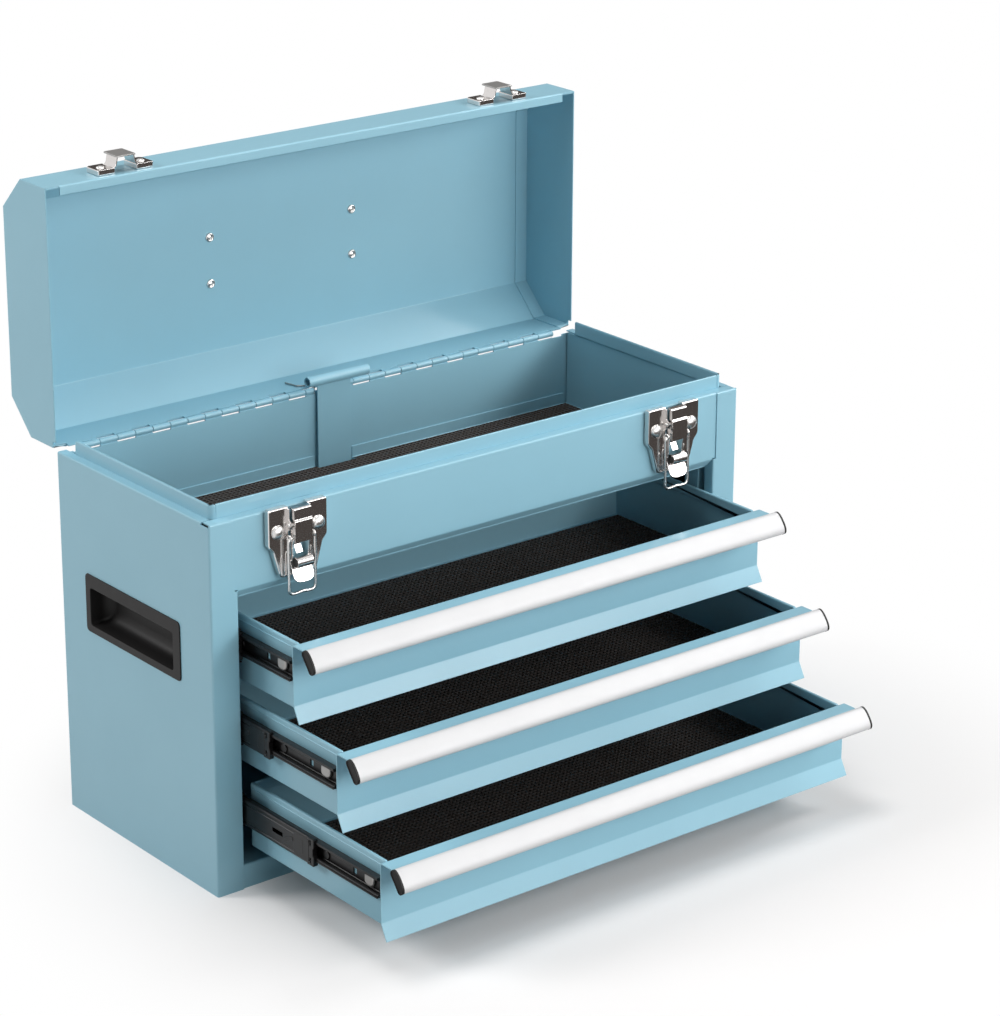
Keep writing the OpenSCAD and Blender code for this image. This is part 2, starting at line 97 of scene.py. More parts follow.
def smoothByAngle(piece, degrees):
    activate(piece)
    bpy.ops.object.shade_smooth_by_angle(angle=math.radians(degrees))


def centre(cell):
    total = Vector()
    for vert in cell.verts:
        total += vert.co
    return total / len(cell.verts) / mm


def pick(piece, kind, test):
    # in edit mode, selects the verts, edges or faces that pass the test
    cells = bmesh.from_edit_mesh(piece.data)
    for group in (cells.faces, cells.edges, cells.verts):
        for cell in group:
            cell.select = False
    for cell in [cell for cell in getattr(cells, kind) if test(cell)]:
        cell.select_set(True)
    bmesh.update_edit_mesh(piece.data)


def deleteFaces(piece, test):
    # test takes the middle of a face
    pick(piece, "faces", lambda face: test(centre(face)))
    bpy.ops.mesh.delete(type="FACE")


def near(value, goal, reach=0.02):
    return abs(value - goal) < reach


def allNear(cell, axis, goal):
    return all(near(vert.co[axis] / mm, goal) for vert in cell.verts)


def pickEdges(piece, places, test=None):
    # the edges that lie at these places {axis: place}, if the test on their middle passes
    pick(piece, "edges", lambda edge: all(allNear(edge, axis, place) for axis, place in places.items())
         and (test is None or test(centre(edge))))


def bisectAt(piece, axis, place):
    normal = [int(axis == i) for i in range(3)]
    selectAll()
    bpy.ops.mesh.bisect(plane_co=[part * place * mm for part in normal], plane_no=normal)


def extrudeBy(x, y, z):
    bpy.ops.mesh.extrude_region_move(TRANSFORM_OT_translate={"value": (x * mm, y * mm, z * mm)})


def bevelEdges(offset, segments):
    bpy.ops.mesh.bevel(offset=offset * mm, offset_type="OFFSET", segments=segments, profile=0.5, affect="EDGES")


def roundEdges(piece, width, segments, angle, smooth=40):
    edges = piece.modifiers.new("rims", "BEVEL")
    edges.limit_method = "ANGLE"
    edges.angle_limit = math.radians(angle)
    edges.width = width * mm
    edges.segments = segments
    applyModifiers(piece)
    smoothByAngle(piece, smooth)


def thicken(piece, thickness=1.0, toward=-1, rim=0.22, segments=2, angle=50):
    # the sheet's thickness and its deburred rims
    shell = piece.modifiers.new("thickness", "SOLIDIFY")
    shell.thickness = thickness * mm
    shell.offset = toward
    shell.use_even_offset = True
    applyModifiers(piece)
    if rim:
        roundEdges(piece, rim, segments, angle, 35)
    else:
        smoothByAngle(piece, 35)


def drawSheet(name, line, low, high, radii, segments=4):
    # a strip from low to high along X, drawn out edge by edge along a line in Y and Z, then bent
    run = Vector(line[1]) - Vector(line[0])
    middle = (Vector(line[1]) + Vector(line[0])) / 2
    deselectAll()
    bpy.ops.mesh.primitive_plane_add(size=1, location=((low + high) / 2 * mm, middle.x * mm, middle.y * mm),
                                     rotation=(math.atan2(run.y, run.x), 0, 0))
    piece = newest(name)
    piece.scale = ((high - low) * mm, run.length * mm, 1)
    applyPlace(piece)
    startEdit(piece, "EDGE")
    for here, there in zip(line[1:], line[2:]):
        pickEdges(piece, {1: here[0], 2: here[1]})
        extrudeBy(0, there[0] - here[0], there[1] - here[1])
    for index, radius in enumerate(radii, 1):
        if radius:
            before = (Vector(line[index]) - Vector(line[index - 1])).normalized()
            after = (Vector(line[index + 1]) - Vector(line[index])).normalized()
            bend = before.angle(after)
            pickEdges(piece, {1: line[index][0], 2: line[index][1]})
            bevelEdges(radius * math.tan(bend / 2), segments)
    endEdit()
    return piece


def drawPlate(name, points, plane, level):
    # a flat face with these corners; plane names the two axes that the points give
    deselectAll()
    bpy.ops.mesh.primitive_circle_add(vertices=len(points), radius=0.01, fill_type="NGON")
    piece = newest(name)
    first, second = "xyz".index(plane[0]), "xyz".index(plane[1])
    third = 3 - first - second
    for vert, point in zip(piece.data.vertices, points):
        vert.co[first], vert.co[second], vert.co[third] = point[0] * mm, point[1] * mm, level * mm
    return piece


def makePlate(name, points, plane, level, push, rim, segments=2, angle=30, smooth=35):
    # the flat face pushed out along the third axis, with round edges
    plate = drawPlate(name, points, plane, level)
    startEdit(plate, "FACE")
    selectAll()
    extrudeBy(*(0 if axis in plane else push for axis in "xyz"))
    faceOutward()
    endEdit()
    if rim:
        roundEdges(plate, rim, segments, angle, smooth)
    else:
        smoothByAngle(plate, smooth)
    return plate


def arc(x, z, radius, start, stop, steps):
    turns = [math.radians(start + (stop - start) * step / steps) for step in range(steps + 1)]
    return [(x + radius * math.cos(turn), z + radius * math.sin(turn)) for turn in turns]


def circle(x, z, radius):
    return arc(x, z, radius, 0, 345, 23)


def roundedRectangle(a, b, r, across=0.0, up=0.0):
    corners = ((a - r, b - r), (r - a, b - r), (r - a, r - b), (a - r, r - b))
    return [point for quarter, (x, z) in enumerate(corners)
            for point in arc(across + x, up + z, r, 90 * quarter, 90 * quarter + 90, 5)]


def bothSides(points, between=()):
    return [*points, *between, *((-x, z) for x, z in reversed(points))]


def joinPieces(name, pieces):
    deselectAll()
    for piece in pieces:
        piece.select_set(True)
    bpy.context.view_layer.objects.active = pieces[0]
    bpy.ops.object.join()
    pieces[0].name = name
    return pieces[0]


def duplicate(piece, name, matrix):
    copy = piece.copy()
    copy.data = piece.data.copy()
    copy.name = name
    bpy.context.scene.collection.objects.link(copy)
    applyPlace(copy, matrix)
    return copy


def mirrored(piece, name):
    # the same piece on the other side of the middle plane
    copy = duplicate(piece, name, Matrix.Scale(-1, 4, (1, 0, 0)))
    startEdit(copy)
    faceOutward()
    endEdit()
    return copy


def removeModels(*models):
    for model in models:
        bpy.data.objects.remove(model)


def shift(x, y, z):
    return Matrix.Translation((x * mm, y * mm, z * mm))


def tip(degrees, *pivot):
    # about the line along X through the pivot
    return shift(*pivot) @ Matrix.Rotation(math.radians(degrees), 4, "X") @ shift(*(-part for part in pivot))


restPose = {
    "hinge": (0, 105.5, 299.5),
    "gripPins": (0, 0, 377),
    "quarter": -90,
    "drawerLevels": (219, 152, 85),
    "drawerFront": -86.5,                   # of a shut drawer
    "drawersOut": (78.8, 131.5, 183.5),
}
lidOpen = tip(restPose["quarter"], *restPose["hinge"])
gripDown = lidOpen @ tip(restPose["quarter"], *restPose["gripPins"])
drawerOut = [shift(0, restPose["drawerFront"] - out, level)
             for level, out in zip(restPose["drawerLevels"], restPose["drawersOut"])]
upright = Matrix(((0, 1, 0, 0), (0, 0, 1, 0), (1, 0, 0, 0), (0, 0, 0, 1)))    # a strip along X stands up along Z
sideways = Matrix.Rotation(math.radians(90), 4, "Z")    # drawn along X, it runs back along Y on the left side


class Value:
    # wraps one output socket; its operators add Math nodes
    def __init__(self, shader, socket):
        self.shader = shader
        self.socket = socket

    def math(self, operation, first, second):
        return self.shader.node("Math", {"operation": operation}, {0: first, 1: second})

    def __add__(self, other):
        return self.math("ADD", self, other)

    def __radd__(self, other):
        return self.math("ADD", other, self)

    def __mul__(self, other):
        return self.math("MULTIPLY", self, other)

    def __rmul__(self, other):
        return self.math("MULTIPLY", other, self)


class Shader:
    def __init__(self, tree):
        self.tree = tree
        tree.nodes.clear()

    def node(self, kind, settings=None, inputs=None, output=0):
        made = self.tree.nodes.new("ShaderNode" + kind)
        for name, value in (settings or {}).items():
            setattr(made, name, value)
        for name, value in (inputs or {}).items():
            if isinstance(value, Value):
                self.tree.links.new(value.socket, made.inputs[name])
            else:
                made.inputs[name].default_value = value
        return Value(self, made.outputs[output]) if made.outputs else made


def newMaterial(name):
    made = bpy.data.materials.new(name)
    made.use_nodes = True
    return made, Shader(made.node_tree)


def linear(red, green, blue):
    def channel(value):
        value /= 255
        return value / 12.92 if value <= 0.04045 else ((value + 0.055) / 1.055) ** 2.4
    return channel(red), channel(green), channel(blue)


def blend(shader, factor, first, second):
    inputs = {0: factor, 6: (*linear(*first), 1), 7: (*linear(*second), 1)}
    return shader.node("Mix", {"data_type": "RGBA"}, inputs, 2)


def noise(shader, point, scale, detail):
    return shader.node("TexNoise", inputs={"Vector": point, "Scale": scale, "Detail": detail})


paintLook = {
    "colour": (146, 194, 211),
    "shade": (140, 187, 204),
    "roughness": 0.46,
    "coat": 0.3,
    "peelScale": 900,        # orange peel, about one grain a millimetre
    "peelDepth": 0.00003,
}


def makeFinish(name, colour, shade, roughness, spread, metallic=0.0, grain=60, bumpScale=900, bumpDepth=0.00002,
               coat=0.0, specular=0.5):
    # tones between two sRGB colours, and a fine bump; grain and bumpScale count patches per metre
    finish, shader = newMaterial(name)
    point = shader.node("TexCoord", output=3)
    tone = noise(shader, point, grain, 3)
    fine = noise(shader, point, bumpScale, 1)
    settings = {
        "Base Color": blend(shader, tone, colour, shade),
        "Roughness": roughness - spread / 2 + tone * spread,
        "Metallic": metallic,
        "Normal": shader.node("Bump", inputs={"Height": fine, "Distance": bumpDepth, "Strength": 1.0}),
        "Specular IOR Level": specular,
    }
    if coat:
        settings["Coat Weight"] = coat
        settings["Coat Roughness"] = 0.12
    surface = shader.node("BsdfPrincipled", inputs=settings)
    shader.node("OutputMaterial", inputs={"Surface": surface})
    return finish


finishes = {
    "blue_paint": makeFinish("bluePaint", paintLook["colour"], paintLook["shade"], paintLook["roughness"], 0.08,
                             grain=14, bumpScale=paintLook["peelScale"], bumpDepth=paintLook["peelDepth"],
                             coat=paintLook["coat"]),
    "slide_black": makeFinish("slideBlack", (27, 26, 27), (20, 20, 21), 0.33, 0.1, metallic=0.35, grain=90),
    "chrome": makeFinish("chromePlate", (222, 219, 217), (212, 208, 206), 0.13, 0.06, metallic=1.0, grain=45,
                         bumpScale=400, bumpDepth=0.000006),
    "bright_steel": makeFinish("brightSteel", (222, 220, 218), (206, 205, 203), 0.27, 0.08, metallic=1.0, grain=120,
                               bumpDepth=0.000005),
    "pin_steel": makeFinish("pinSteel", (166, 164, 162), (150, 149, 147), 0.36, 0.08, metallic=0.75, grain=120),
    "pull_metal": makeFinish("pullMetal", (210, 210, 211), (205, 205, 206), 0.52, 0.06, metallic=0.1),
    "black_plastic": makeFinish("blackPlastic", (27, 26, 26), (22, 21, 21), 0.46, 0.08, grain=120,
                                bumpScale=1500, bumpDepth=0.00004, specular=0.22),
    "liner_mat": makeFinish("linerMat", (66, 57, 52), (46, 40, 37), 0.7, 0.1, grain=500, bumpScale=1800,
                            bumpDepth=0.00008),
}
slotOf = {part["node"]: part["material_slot"] for part in frame["record"]["subparts"]}
print("finishes ready", len(finishes), len(slotOf))


def dress(piece, slot):
    piece.data.materials.clear()
    piece.data.materials.append(finishes[slot])


def bodyOf(nodeName):
    for body, members in frame["record"]["behaviour"]["bodies"].items():
        if nodeName in members:
            return body


def finishPiece(piece, body, slot, *replaced):
    dress(piece, slot)
    flatten = piece.modifiers.new("flat", "WEIGHTED_NORMAL")    # flat sheet stays flat beside its rounded edges
    flatten.keep_sharp = True
    applyModifiers(piece)
    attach(piece, body)
    if replaced:
        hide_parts(*replaced)


def finishPair(model, name, place, body, slot, *replaced):
    # the model at its place on the left, and its mirror image
    left = duplicate(model, "left", place)
    finishPiece(joinPieces(name, [left, mirrored(left, "right")]), body, slot, *replaced)


def faceWidth(face, edge):
    # how far the face reaches from the edge
    start = edge.verts[0].co
    along = (edge.verts[1].co - start).normalized()
    return max(((v.co - start) - along * (v.co - start).dot(along)).length for v in face.verts)


softening = {
    "flatter": 22,      # an edge with less of an angle in degrees stays as it is
    "share": 0.4,       # a radius takes this much of a narrow face at most
}


def softenedCopy(nodeName, fold=1.6, inner=0.6, rim=0.25, wide=2.4, segments=3):
    # a solid taken over; outside folds, inside folds and cut rims each get their own radius
    piece = nodes[nodeName].copy()
    piece.data = nodes[nodeName].data.copy()
    piece.name = "soft_" + nodeName
    for key in list(piece.keys()):
        del piece[key]
    bpy.context.scene.collection.objects.link(piece)
    piece.parent = None
    startEdit(piece)
    selectAll()
    bpy.ops.mesh.remove_doubles(threshold=2e-6)
    bpy.ops.mesh.dissolve_limited(angle_limit=math.radians(0.4))
    cells = bmesh.from_edit_mesh(piece.data)
    weights = cells.edges.layers.float.get("bevel_weight_edge") or cells.edges.layers.float.new("bevel_weight_edge")
    largest = max(fold, inner, rim)
    for edge in cells.edges:
        if len(edge.link_faces) != 2 or edge.calc_face_angle(0) < math.radians(softening["flatter"]):
            continue
        narrow = min(faceWidth(face, edge) for face in edge.link_faces)
        size = rim
        if narrow > wide * mm:
            size = fold if edge.is_convex else inner
        edge[weights] = min(size, narrow / mm * softening["share"]) / largest
    bmesh.update_edit_mesh(piece.data)
    endEdit()
    rounding = piece.modifiers.new("edges", "BEVEL")
    rounding.limit_method = "WEIGHT"
    rounding.width = largest * mm
    rounding.segments = segments
    rounding.use_clamp_overlap = False
    applyModifiers(piece)
    smoothByAngle(piece, 40)
    finishPiece(piece, bodyOf(nodeName), slotOf[nodeName], nodeName)


for nodeName, node in nodes.items():
    dress(node, slotOf[nodeName])

for name in ("bottom_panel", "tray_floor"):
    softenedCopy(name, fold=1.4, inner=0.5, rim=0.25)
for name in ("tray_wall_front", "tray_wall_left", "tray_wall_right"):
    softenedCopy(name, fold=1.4, inner=0.3, rim=0.8)
for name in ("hinge_leaf_case", "hinge_leaf_lid", "slide_support_left", "slide_support_right", "handle_brackets",
             "slide_outer_1", "slide_outer_2", "slide_outer_3"):
    softenedCopy(name, fold=0.5, inner=0.3, rim=0.2, wide=1.4, segments=2)
print("solids softened")


lidSheet = {
    "line": [(-104, 300.6), (-104, 337), (-77, 364), (77, 364), (104, 337), (104, 305)],
    "bend": 2.0,
    "halfWidth": 259,
    "frontFlange": 7.5,
    "flangeHalf": 246.8,
    "flangeBend": 1.4,
    "cornerHalf": 248,
    "cornerSpan": (247, 260),       # between its ends the rear edge is a corner
    "rearDrops": (4.4, 2.9, 0.4),   # of the rear edge beside the hinge runs, at the knuckles and at the corners
}
lidEnd = {
    "outline": [(-104, 300.6), (-104, 337), (-77, 364), (77, 364), (104, 337), (104, 304.6), (99, 304.6),
                (99, 300.6)],
    "at": -260,
    "rim": 0.42,
    "flange": [(-103, 301), (-103, 336.6), (-76.6, 363), (76.6, 363), (103, 336.6), (103, 305)],
    "flangeRun": (-259.2, -247),
    "flangeBend": 1.4,
}
knuckle = {"length": 16.4, "pitch": 32.8, "left": -237.9, "right": 23.6}
lidKnuckles = [start + knuckle["pitch"] * i for start in (knuckle["left"], knuckle["right"]) for i in range(7)]
hingeEnds = ((-238.05, -13), (17.85, 236.95))


def makeLidShell():
    line, wide, half, corner = (lidSheet[key] for key in ("line", "halfWidth", "flangeHalf", "cornerHalf"))
    front, low = line[0]
    rear, high = line[-1]
    shell = drawSheet("lid_shell_sheet", line, -wide, wide, [lidSheet["bend"]] * 4)
    startEdit(shell, "EDGE")
    ends = [x for pair in hingeEnds for x in pair]
    knuckleEnds = [x + knuckle["length"] for x in lidKnuckles]
    for place in [-half, half, -corner, corner] + ends + lidKnuckles + knuckleEnds:
        bisectAt(shell, 0, place)
    pickEdges(shell, {2: low}, lambda at: abs(at.x) < half)
    extrudeBy(0, lidSheet["frontFlange"], 0)
    pickEdges(shell, {1: front, 2: low}, lambda at: abs(at.x) < half)
    bevelEdges(lidSheet["flangeBend"], 3)
    beside = [(-corner, ends[0]), (ends[1], ends[2]), (ends[3], corner)]
    knuckles = list(zip(lidKnuckles, knuckleEnds))
    inner, outer = lidSheet["cornerSpan"]
    corners = [(-outer, -inner), (inner, outer)]
    for spans, drop in zip((beside, knuckles, corners), lidSheet["rearDrops"]):
        for start, stop in spans:
            pickEdges(shell, {1: rear, 2: high}, lambda at: start < at.x < stop)
            extrudeBy(0, 0, -drop)
    endEdit()
    thicken(shell, 1.0, -1, 0.25, angle=60)
    applyPlace(shell, lidOpen)
    finishPiece(shell, "lid", "blue_paint", "lid_shell")


def makeLidEnds():
    plate = makePlate("lid_end_plate", lidEnd["outline"], "yz", lidEnd["at"], 1.0, lidEnd["rim"], 3)
    flange = drawSheet("lid_end_flange", lidEnd["flange"], *lidEnd["flangeRun"], [lidEnd["flangeBend"]] * 4)
    thicken(flange, 1.0, -1, 0.25)
    end = joinPieces("lid_end_left_sheet", [plate, flange])
    other = mirrored(end, "lid_end_right_sheet")
    for piece, side in ((end, "left"), (other, "right")):
        applyPlace(piece, lidOpen)
        finishPiece(piece, "lid", "blue_paint", f"lid_end_{side}")


makeLidShell()
makeLidEnds()
print("lid ready")


sidePanel = {
    "line": [(-235.6, -94), (-235.6, -104), (-260, -104), (-260, 104)],
    "height": 300,
    "stileBend": 1.6,
    "returnBend": 1.3,
    "stileCorner": (-238.5, 243.5),     # the stile is wider above the drawers
    "relief": (-93, 297.8),             # the slit behind the front corner, from its Y and Z
    "shoulder": (8, 10),                # how far the top turns in from the side and from the front
    "shoulderBend": 1.3,
    "pocket": (3.5, 187),               # its middle in Y and Z
    "pocketHole": (61.0, 20.5),
}
backPanel = {
    "line": [(104, 296.1), (104, 0)],
    "half": 259,
    "cuts": [-246, -15.8, 17.8, 246],   # where the height of the top edge steps, besides the knuckles
    "tops": [(-261, -246, 297.8), (-246, -15.8, 297), (-15.8, 17.8, 300), (17.8, 236.8, 297), (246, 261, 297.8)],
}
frontSheets = {
    "fascia": [(-97, 236.6), (-103, 243.2), (-103, 300), (-94, 300)],
    "fasciaBends": [2.4, 1.5],
    "fasciaHalf": 238.5,
    "fasciaNotch": (235.4, 244.2),      # cut away outside and below
    "rail": [(-103, 0), (-103, 19.5), (-82, 19.5)],
    "railHalf": 235.6,
    "railBend": 1.6,
}


def makeSidePanels():
    line, top = sidePanel["line"], sidePanel["height"]
    wall, front = line[2]
    inside, above = sidePanel["stileCorner"]
    behind, slit = sidePanel["relief"]
    y, z = sidePanel["pocket"]
    a, b = sidePanel["pocketHole"]
    panel = drawSheet("side_panel_left_sheet", line, 0, top, [sidePanel["returnBend"], sidePanel["stileBend"]])
    applyPlace(panel, upright)
    startEdit(panel, "EDGE")
    for axis, place in ((2, above), (0, inside), (2, slit), (1, behind), (1, y - a), (1, y + a), (2, z - b),
                        (2, z + b)):
        bisectAt(panel, axis, place)
    deleteFaces(panel, lambda at: at.x > inside and at.z > above)
    deleteFaces(panel, lambda at: abs(at.y - y) < a and abs(at.z - z) < b)
    deleteFaces(panel, lambda at: at.x < wall + 0.1 and at.z > slit and at.y < behind)
    pickEdges(panel, {0: wall, 2: top}, lambda at: at.y > behind)
    extrudeBy(sidePanel["shoulder"][0], 0, 0)
    pickEdges(panel, {1: front, 2: top})
    extrudeBy(0, sidePanel["shoulder"][1], 0)
    pickEdges(panel, {2: top}, lambda at: near(at.y, front) or near(at.x, wall) and at.y > behind)
    bevelEdges(sidePanel["shoulderBend"], 3)
    endEdit()
    thicken(panel, angle=60)
    other = mirrored(panel, "side_panel_right_sheet")
    finishPiece(panel, "case", "blue_paint", "side_panel_left")
    finishPiece(other, "case", "blue_paint", "side_panel_right")


def makeBackPanel():
    line, half = backPanel["line"], backPanel["half"]
    low = line[0][1]
    panel = drawSheet("back_panel_sheet", line, -half, half, [])
    startEdit(panel, "EDGE")
    knuckles = [(start, start + knuckle["length"]) for start in lidKnuckles]
    for place in backPanel["cuts"] + [x for ends in knuckles for x in ends]:
        bisectAt(panel, 0, place)
    for left, right, top in backPanel["tops"]:
        pickEdges(panel, {2: low}, lambda at: left < at.x < right
                  and not any(start < at.x < stop for start, stop in knuckles))
        extrudeBy(0, 0, top - low)
    endEdit()
    thicken(panel, angle=60)
    finishPiece(panel, "case", "blue_paint", "back_panel")


def makeFrontSheets():
    half = frontSheets["fasciaHalf"]
    outside, below = frontSheets["fasciaNotch"]
    fascia = drawSheet("front_fascia_sheet", frontSheets["fascia"], -half, half, frontSheets["fasciaBends"])
    startEdit(fascia, "EDGE")
    for axis, place in ((0, -outside), (0, outside), (2, below)):
        bisectAt(fascia, axis, place)
    deleteFaces(fascia, lambda at: at.z < below and abs(at.x) > outside)
    endEdit()
    half = frontSheets["railHalf"]
    rail = drawSheet("bottom_rail_sheet", frontSheets["rail"], -half, half, [frontSheets["railBend"]])
    for piece, node in ((fascia, "front_fascia"), (rail, "bottom_rail")):
        thicken(piece, angle=60)
        finishPiece(piece, "case", "blue_paint", node)


makeSidePanels()
makeBackPanel()
makeFrontSheets()
print("case ready")


drawerShape = {
    "front": [(-21.63, -12.03), (-13.01, -1), (0, -1), (0, -48.2), (-6.7, -60.7)],
    "frontBends": [3.0, 1.2, 2.2],
    "frontHalf": 230.4,
    "bead": (3, 169, -4.5, 226.45),    # from, to, level, how far out
    "beadShape": (0.7, 0.15, 0.8),     # rise, half the flat, half the width
}


def makeDrawerFront():
    half = drawerShape["frontHalf"]
    front = drawSheet("drawer_front_sheet", drawerShape["front"], -half, half, drawerShape["frontBends"])
    thicken(front, 1.0, 1, 0.25, angle=60)
    return front


pullShape = {
    "half": 231.5,
    "bow": (9.6, 5.2),
    "foot": -0.4,
    "fullness": 2.6,
    "back": [(9.3, -1.2), (8.3, -2.4), (7.0, -3.1), (-7.0, -3.1), (-8.3, -2.4), (-9.3, -1.2)],
    "middle": (-22.22, -5.88),
    "turn": 52,
    "cap": 2.0,
    "capGrow": 0.15,
    "capRim": 0.9,
    "capWall": 0.25,
    "capEdge": 0.4,
    "recess": 0.6,
}


def pullSection(grow=0):
    # a bowed front over a flat back, across and outward
    across, outward = pullShape["bow"]
    front = []
    for step in range(21):
        turn = math.radians(8 * step - 80)
        rise = (1 - abs(math.sin(turn)) ** pullShape["fullness"]) ** (1 / pullShape["fullness"])
        front.append(((across + grow) * math.sin(turn), pullShape["foot"] + (outward + grow) * rise))
    back = [(y + math.copysign(grow, y), z - grow) for y, z in pullShape["back"]]
    return front + back


def makePull():
    half, cap = pullShape["half"], pullShape["cap"]
    turned = shift(0, *pullShape["middle"]) @ Matrix.Rotation(math.radians(pullShape["turn"]), 4, "X")
    bar = makePlate("pull_bar", pullSection(), "yz", -half, 2 * half, 0)
    caps = []
    for side in (-1, 1):
        end = drawPlate("pull_cap", pullSection(pullShape["capGrow"]), "yz", side * half)
        startEdit(end, "FACE")
        selectAll()
        extrudeBy(side * cap, 0, 0)
        faceOutward()
        outer = side * (half + cap)
        pick(end, "faces", lambda face: allNear(face, 0, outer))
        bpy.ops.mesh.inset(thickness=pullShape["capRim"] * mm, depth=0)
        bpy.ops.mesh.inset(thickness=pullShape["capWall"] * mm, depth=-pullShape["recess"] * mm)
        pick(end, "edges", lambda edge: allNear(edge, 0, outer) and edge.calc_face_angle(0) > 1.2)
        bevelEdges(pullShape["capEdge"], 3)
        endEdit()
        caps.append(end)
    ends = joinPieces("pull_caps", caps)
    for piece in (bar, ends):
        applyPlace(piece, turned)
        smoothByAngle(piece, 40)
    return bar, ends


def makeDrawers():
    front = makeDrawerFront()
    bar, cap = makePull()
    for row, place in enumerate(drawerOut, 1):
        body = f"drawer_{row}"
        finishPiece(duplicate(front, f"drawer_front_{row}_sheet", place), body, "blue_paint", f"drawer_front_{row}")
        finishPiece(duplicate(bar, f"drawer_pull_{row}_bar", place), body, "pull_metal", f"drawer_pull_{row}")
        finishPiece(duplicate(cap, f"pull_caps_{row}_moulded", place), body, "black_plastic", f"pull_caps_{row}")
    removeModels(front, bar, cap)


def makeBeads():
    # the line pressed along both sides of each pan, below its top edge
    low, high, level, out = drawerShape["bead"]
    rise, flat, half = drawerShape["beadShape"]
    line = [(out - rise, level + half), (out, level + flat), (out, level - flat), (out - rise, level - half)]
    bead = drawSheet("pan_bead", line, low, high, [0.25, 0.25], 2)
    thicken(bead, 0.4, -1, 0)
    applyPlace(bead, sideways)
    for row, place in enumerate(drawerOut, 1):
        finishPair(bead, f"pan_beads_{row}", place, f"drawer_{row}", "blue_paint")
    removeModels(bead)


makeDrawers()
makeBeads()
for row in (1, 2, 3):
    softenedCopy(f"drawer_pan_{row}", fold=1.2, inner=0.6, rim=0.8)
print("drawers ready")


pocketShape = {
    "face": -261,
    "half": (65.5, 24.0),
    "corner": 3.5,
    "opening": (5.0, 184.7, 57.5, 15.6),    # its middle in Y and Z, and half its size
    "openingCorner": 2.5,
    "cup": [(9.0, 0.6), (3.2, 0.9), (2.6, 1.7), (1.8, 2.6), (0.9, 3.0), (0.3, 2.4)],    # deeper by, narrower by
    "rimDepth": 1.0,
    "rounding": 0.5,
}


def makePocket():
    y, z = sidePanel["pocket"]
    openY, openZ, halfY, halfZ = pocketShape["opening"]
    outer = roundedRectangle(*pocketShape["half"], pocketShape["corner"], y, z)
    inner = roundedRectangle(halfY, halfZ, pocketShape["openingCorner"], openY, openZ)
    outlines = [drawPlate("pocket_rim", points, "yz", pocketShape["face"]) for points in (outer, inner)]
    rim = joinPieces("pocket_left_moulded", outlines)
    startEdit(rim, "EDGE")
    selectAll()
    bpy.ops.mesh.delete(type="ONLY_FACE")
    selectAll()
    bpy.ops.mesh.bridge_edge_loops()
    pick(rim, "edges", lambda edge: edge.is_boundary and abs(centre(edge).y - y) < halfY + 3
         and abs(centre(edge).z - openZ) < halfZ + 1)
    for deeper, narrower in pocketShape["cup"]:
        extrudeBy(deeper, 0, 0)
        bpy.ops.transform.resize(value=(1, 1 - narrower / halfY, 1 - narrower / halfZ),
                                 center_override=(0, openY * mm, openZ * mm))
        halfY, halfZ = halfY - narrower, halfZ - narrower
    bpy.ops.mesh.edge_face_add()
    pick(rim, "edges", lambda edge: edge.is_boundary)
    extrudeBy(pocketShape["rimDepth"], 0, 0)
    faceOutward()
    endEdit()
    roundEdges(rim, pocketShape["rounding"], 3, 50)
    other = mirrored(rim, "pocket_right_moulded")
    finishPiece(rim, "case", "black_plastic", "pocket_handle_left")
    finishPiece(other, "case", "black_plastic", "pocket_handle_right")


makePocket()
print("pockets ready")


latchShape = {
    "at": 185.5,              # distance of each latch from the middle
    "face": -109.4,
    "deep": 5.35,
    "outline": [(-25.2, 301.8), (-26.2, 301.4), (-26.7, 300.4), (-26.7, 274.4), (-26.4, 273.0), (-25.5, 271.6),
                (-23.0, 268.8), (-22.2, 267.4), (-21.6, 265.0), (-17.6, 251.2), (-17.0, 249.2), (-15.9, 247.5),
                (-14.4, 246.8)],
    "window": [(8.9, 301.8), (8.9, 257.6), (8.1, 256.8), (-8.1, 256.8), (-8.9, 257.6), (-8.9, 301.8)],
    "windowHalf": 9,
    "windowFoot": 250,
    "edge": 1.1,
    "rounding": 0.3,
    "flutes": ((15.4, 248.6, 264), (11.2, 248.2, 266)),     # across, from, to
    "flute": (0.8, 1.1, -109.0),    # half its width at the foot and at the head, and where it starts
    "earAt": 9.0,
    "ear": [(-108.6, 283.4), (-111.5, 283.4), (-111.5, 285.2), (-113.8, 286.8), (-113.8, 290.4), (-111.5, 292.2),
            (-111.5, 300.6), (-108.6, 300.6)],
    "rivet": (5.6, 3.2),
    "rivetAt": (18.4, -109.4, 283.4),
    "rivetCollar": 0.22,
}
leverShape = {
    "half": 7.8,
    "line": [(-116.6, 274.5), (-117.2, 291.2), (-115.9, 292.4), (-115.4, 300.9), (-110.6, 301.5)],
    "cheek": [(-115.8, 281), (-116.4, 291), (-115.2, 292.6), (-114.8, 300.2), (-111.4, 300.6), (-109.2, 292),
              (-108.6, 284), (-109.6, 270), (-109.6, 259), (-111.6, 259), (-112.2, 264), (-112.4, 271)],
    "curl": (-6.0, 8.0, 4.5, 3.4, -113.5, 257.8),     # from, to, outer and inner radius, Y, Z
    "shade_plug": 0.7,        # how far inside the roll the black plug of painted shade ends
    "tab": [(-8.8, 253.6), (-9.2, 251), (-9.2, 247.6), (-8.6, 245.0), (-7.2, 243.3), (-5.2, 242.3), (-2.6, 241.9)],
    "strap": [(-8.8, 252), (-5.4, 252), (-5.4, 260.5), (-8.2, 260.5), (-8.8, 259.5)],
    "tabLevel": -112.2,
    "tilt": -26,
    "tiltAt": (0, -112.6, 253),
    "spring": [(-110.2, 275), (-115.2, 266)],
    "springRun": (-6.3, -0.4),
}


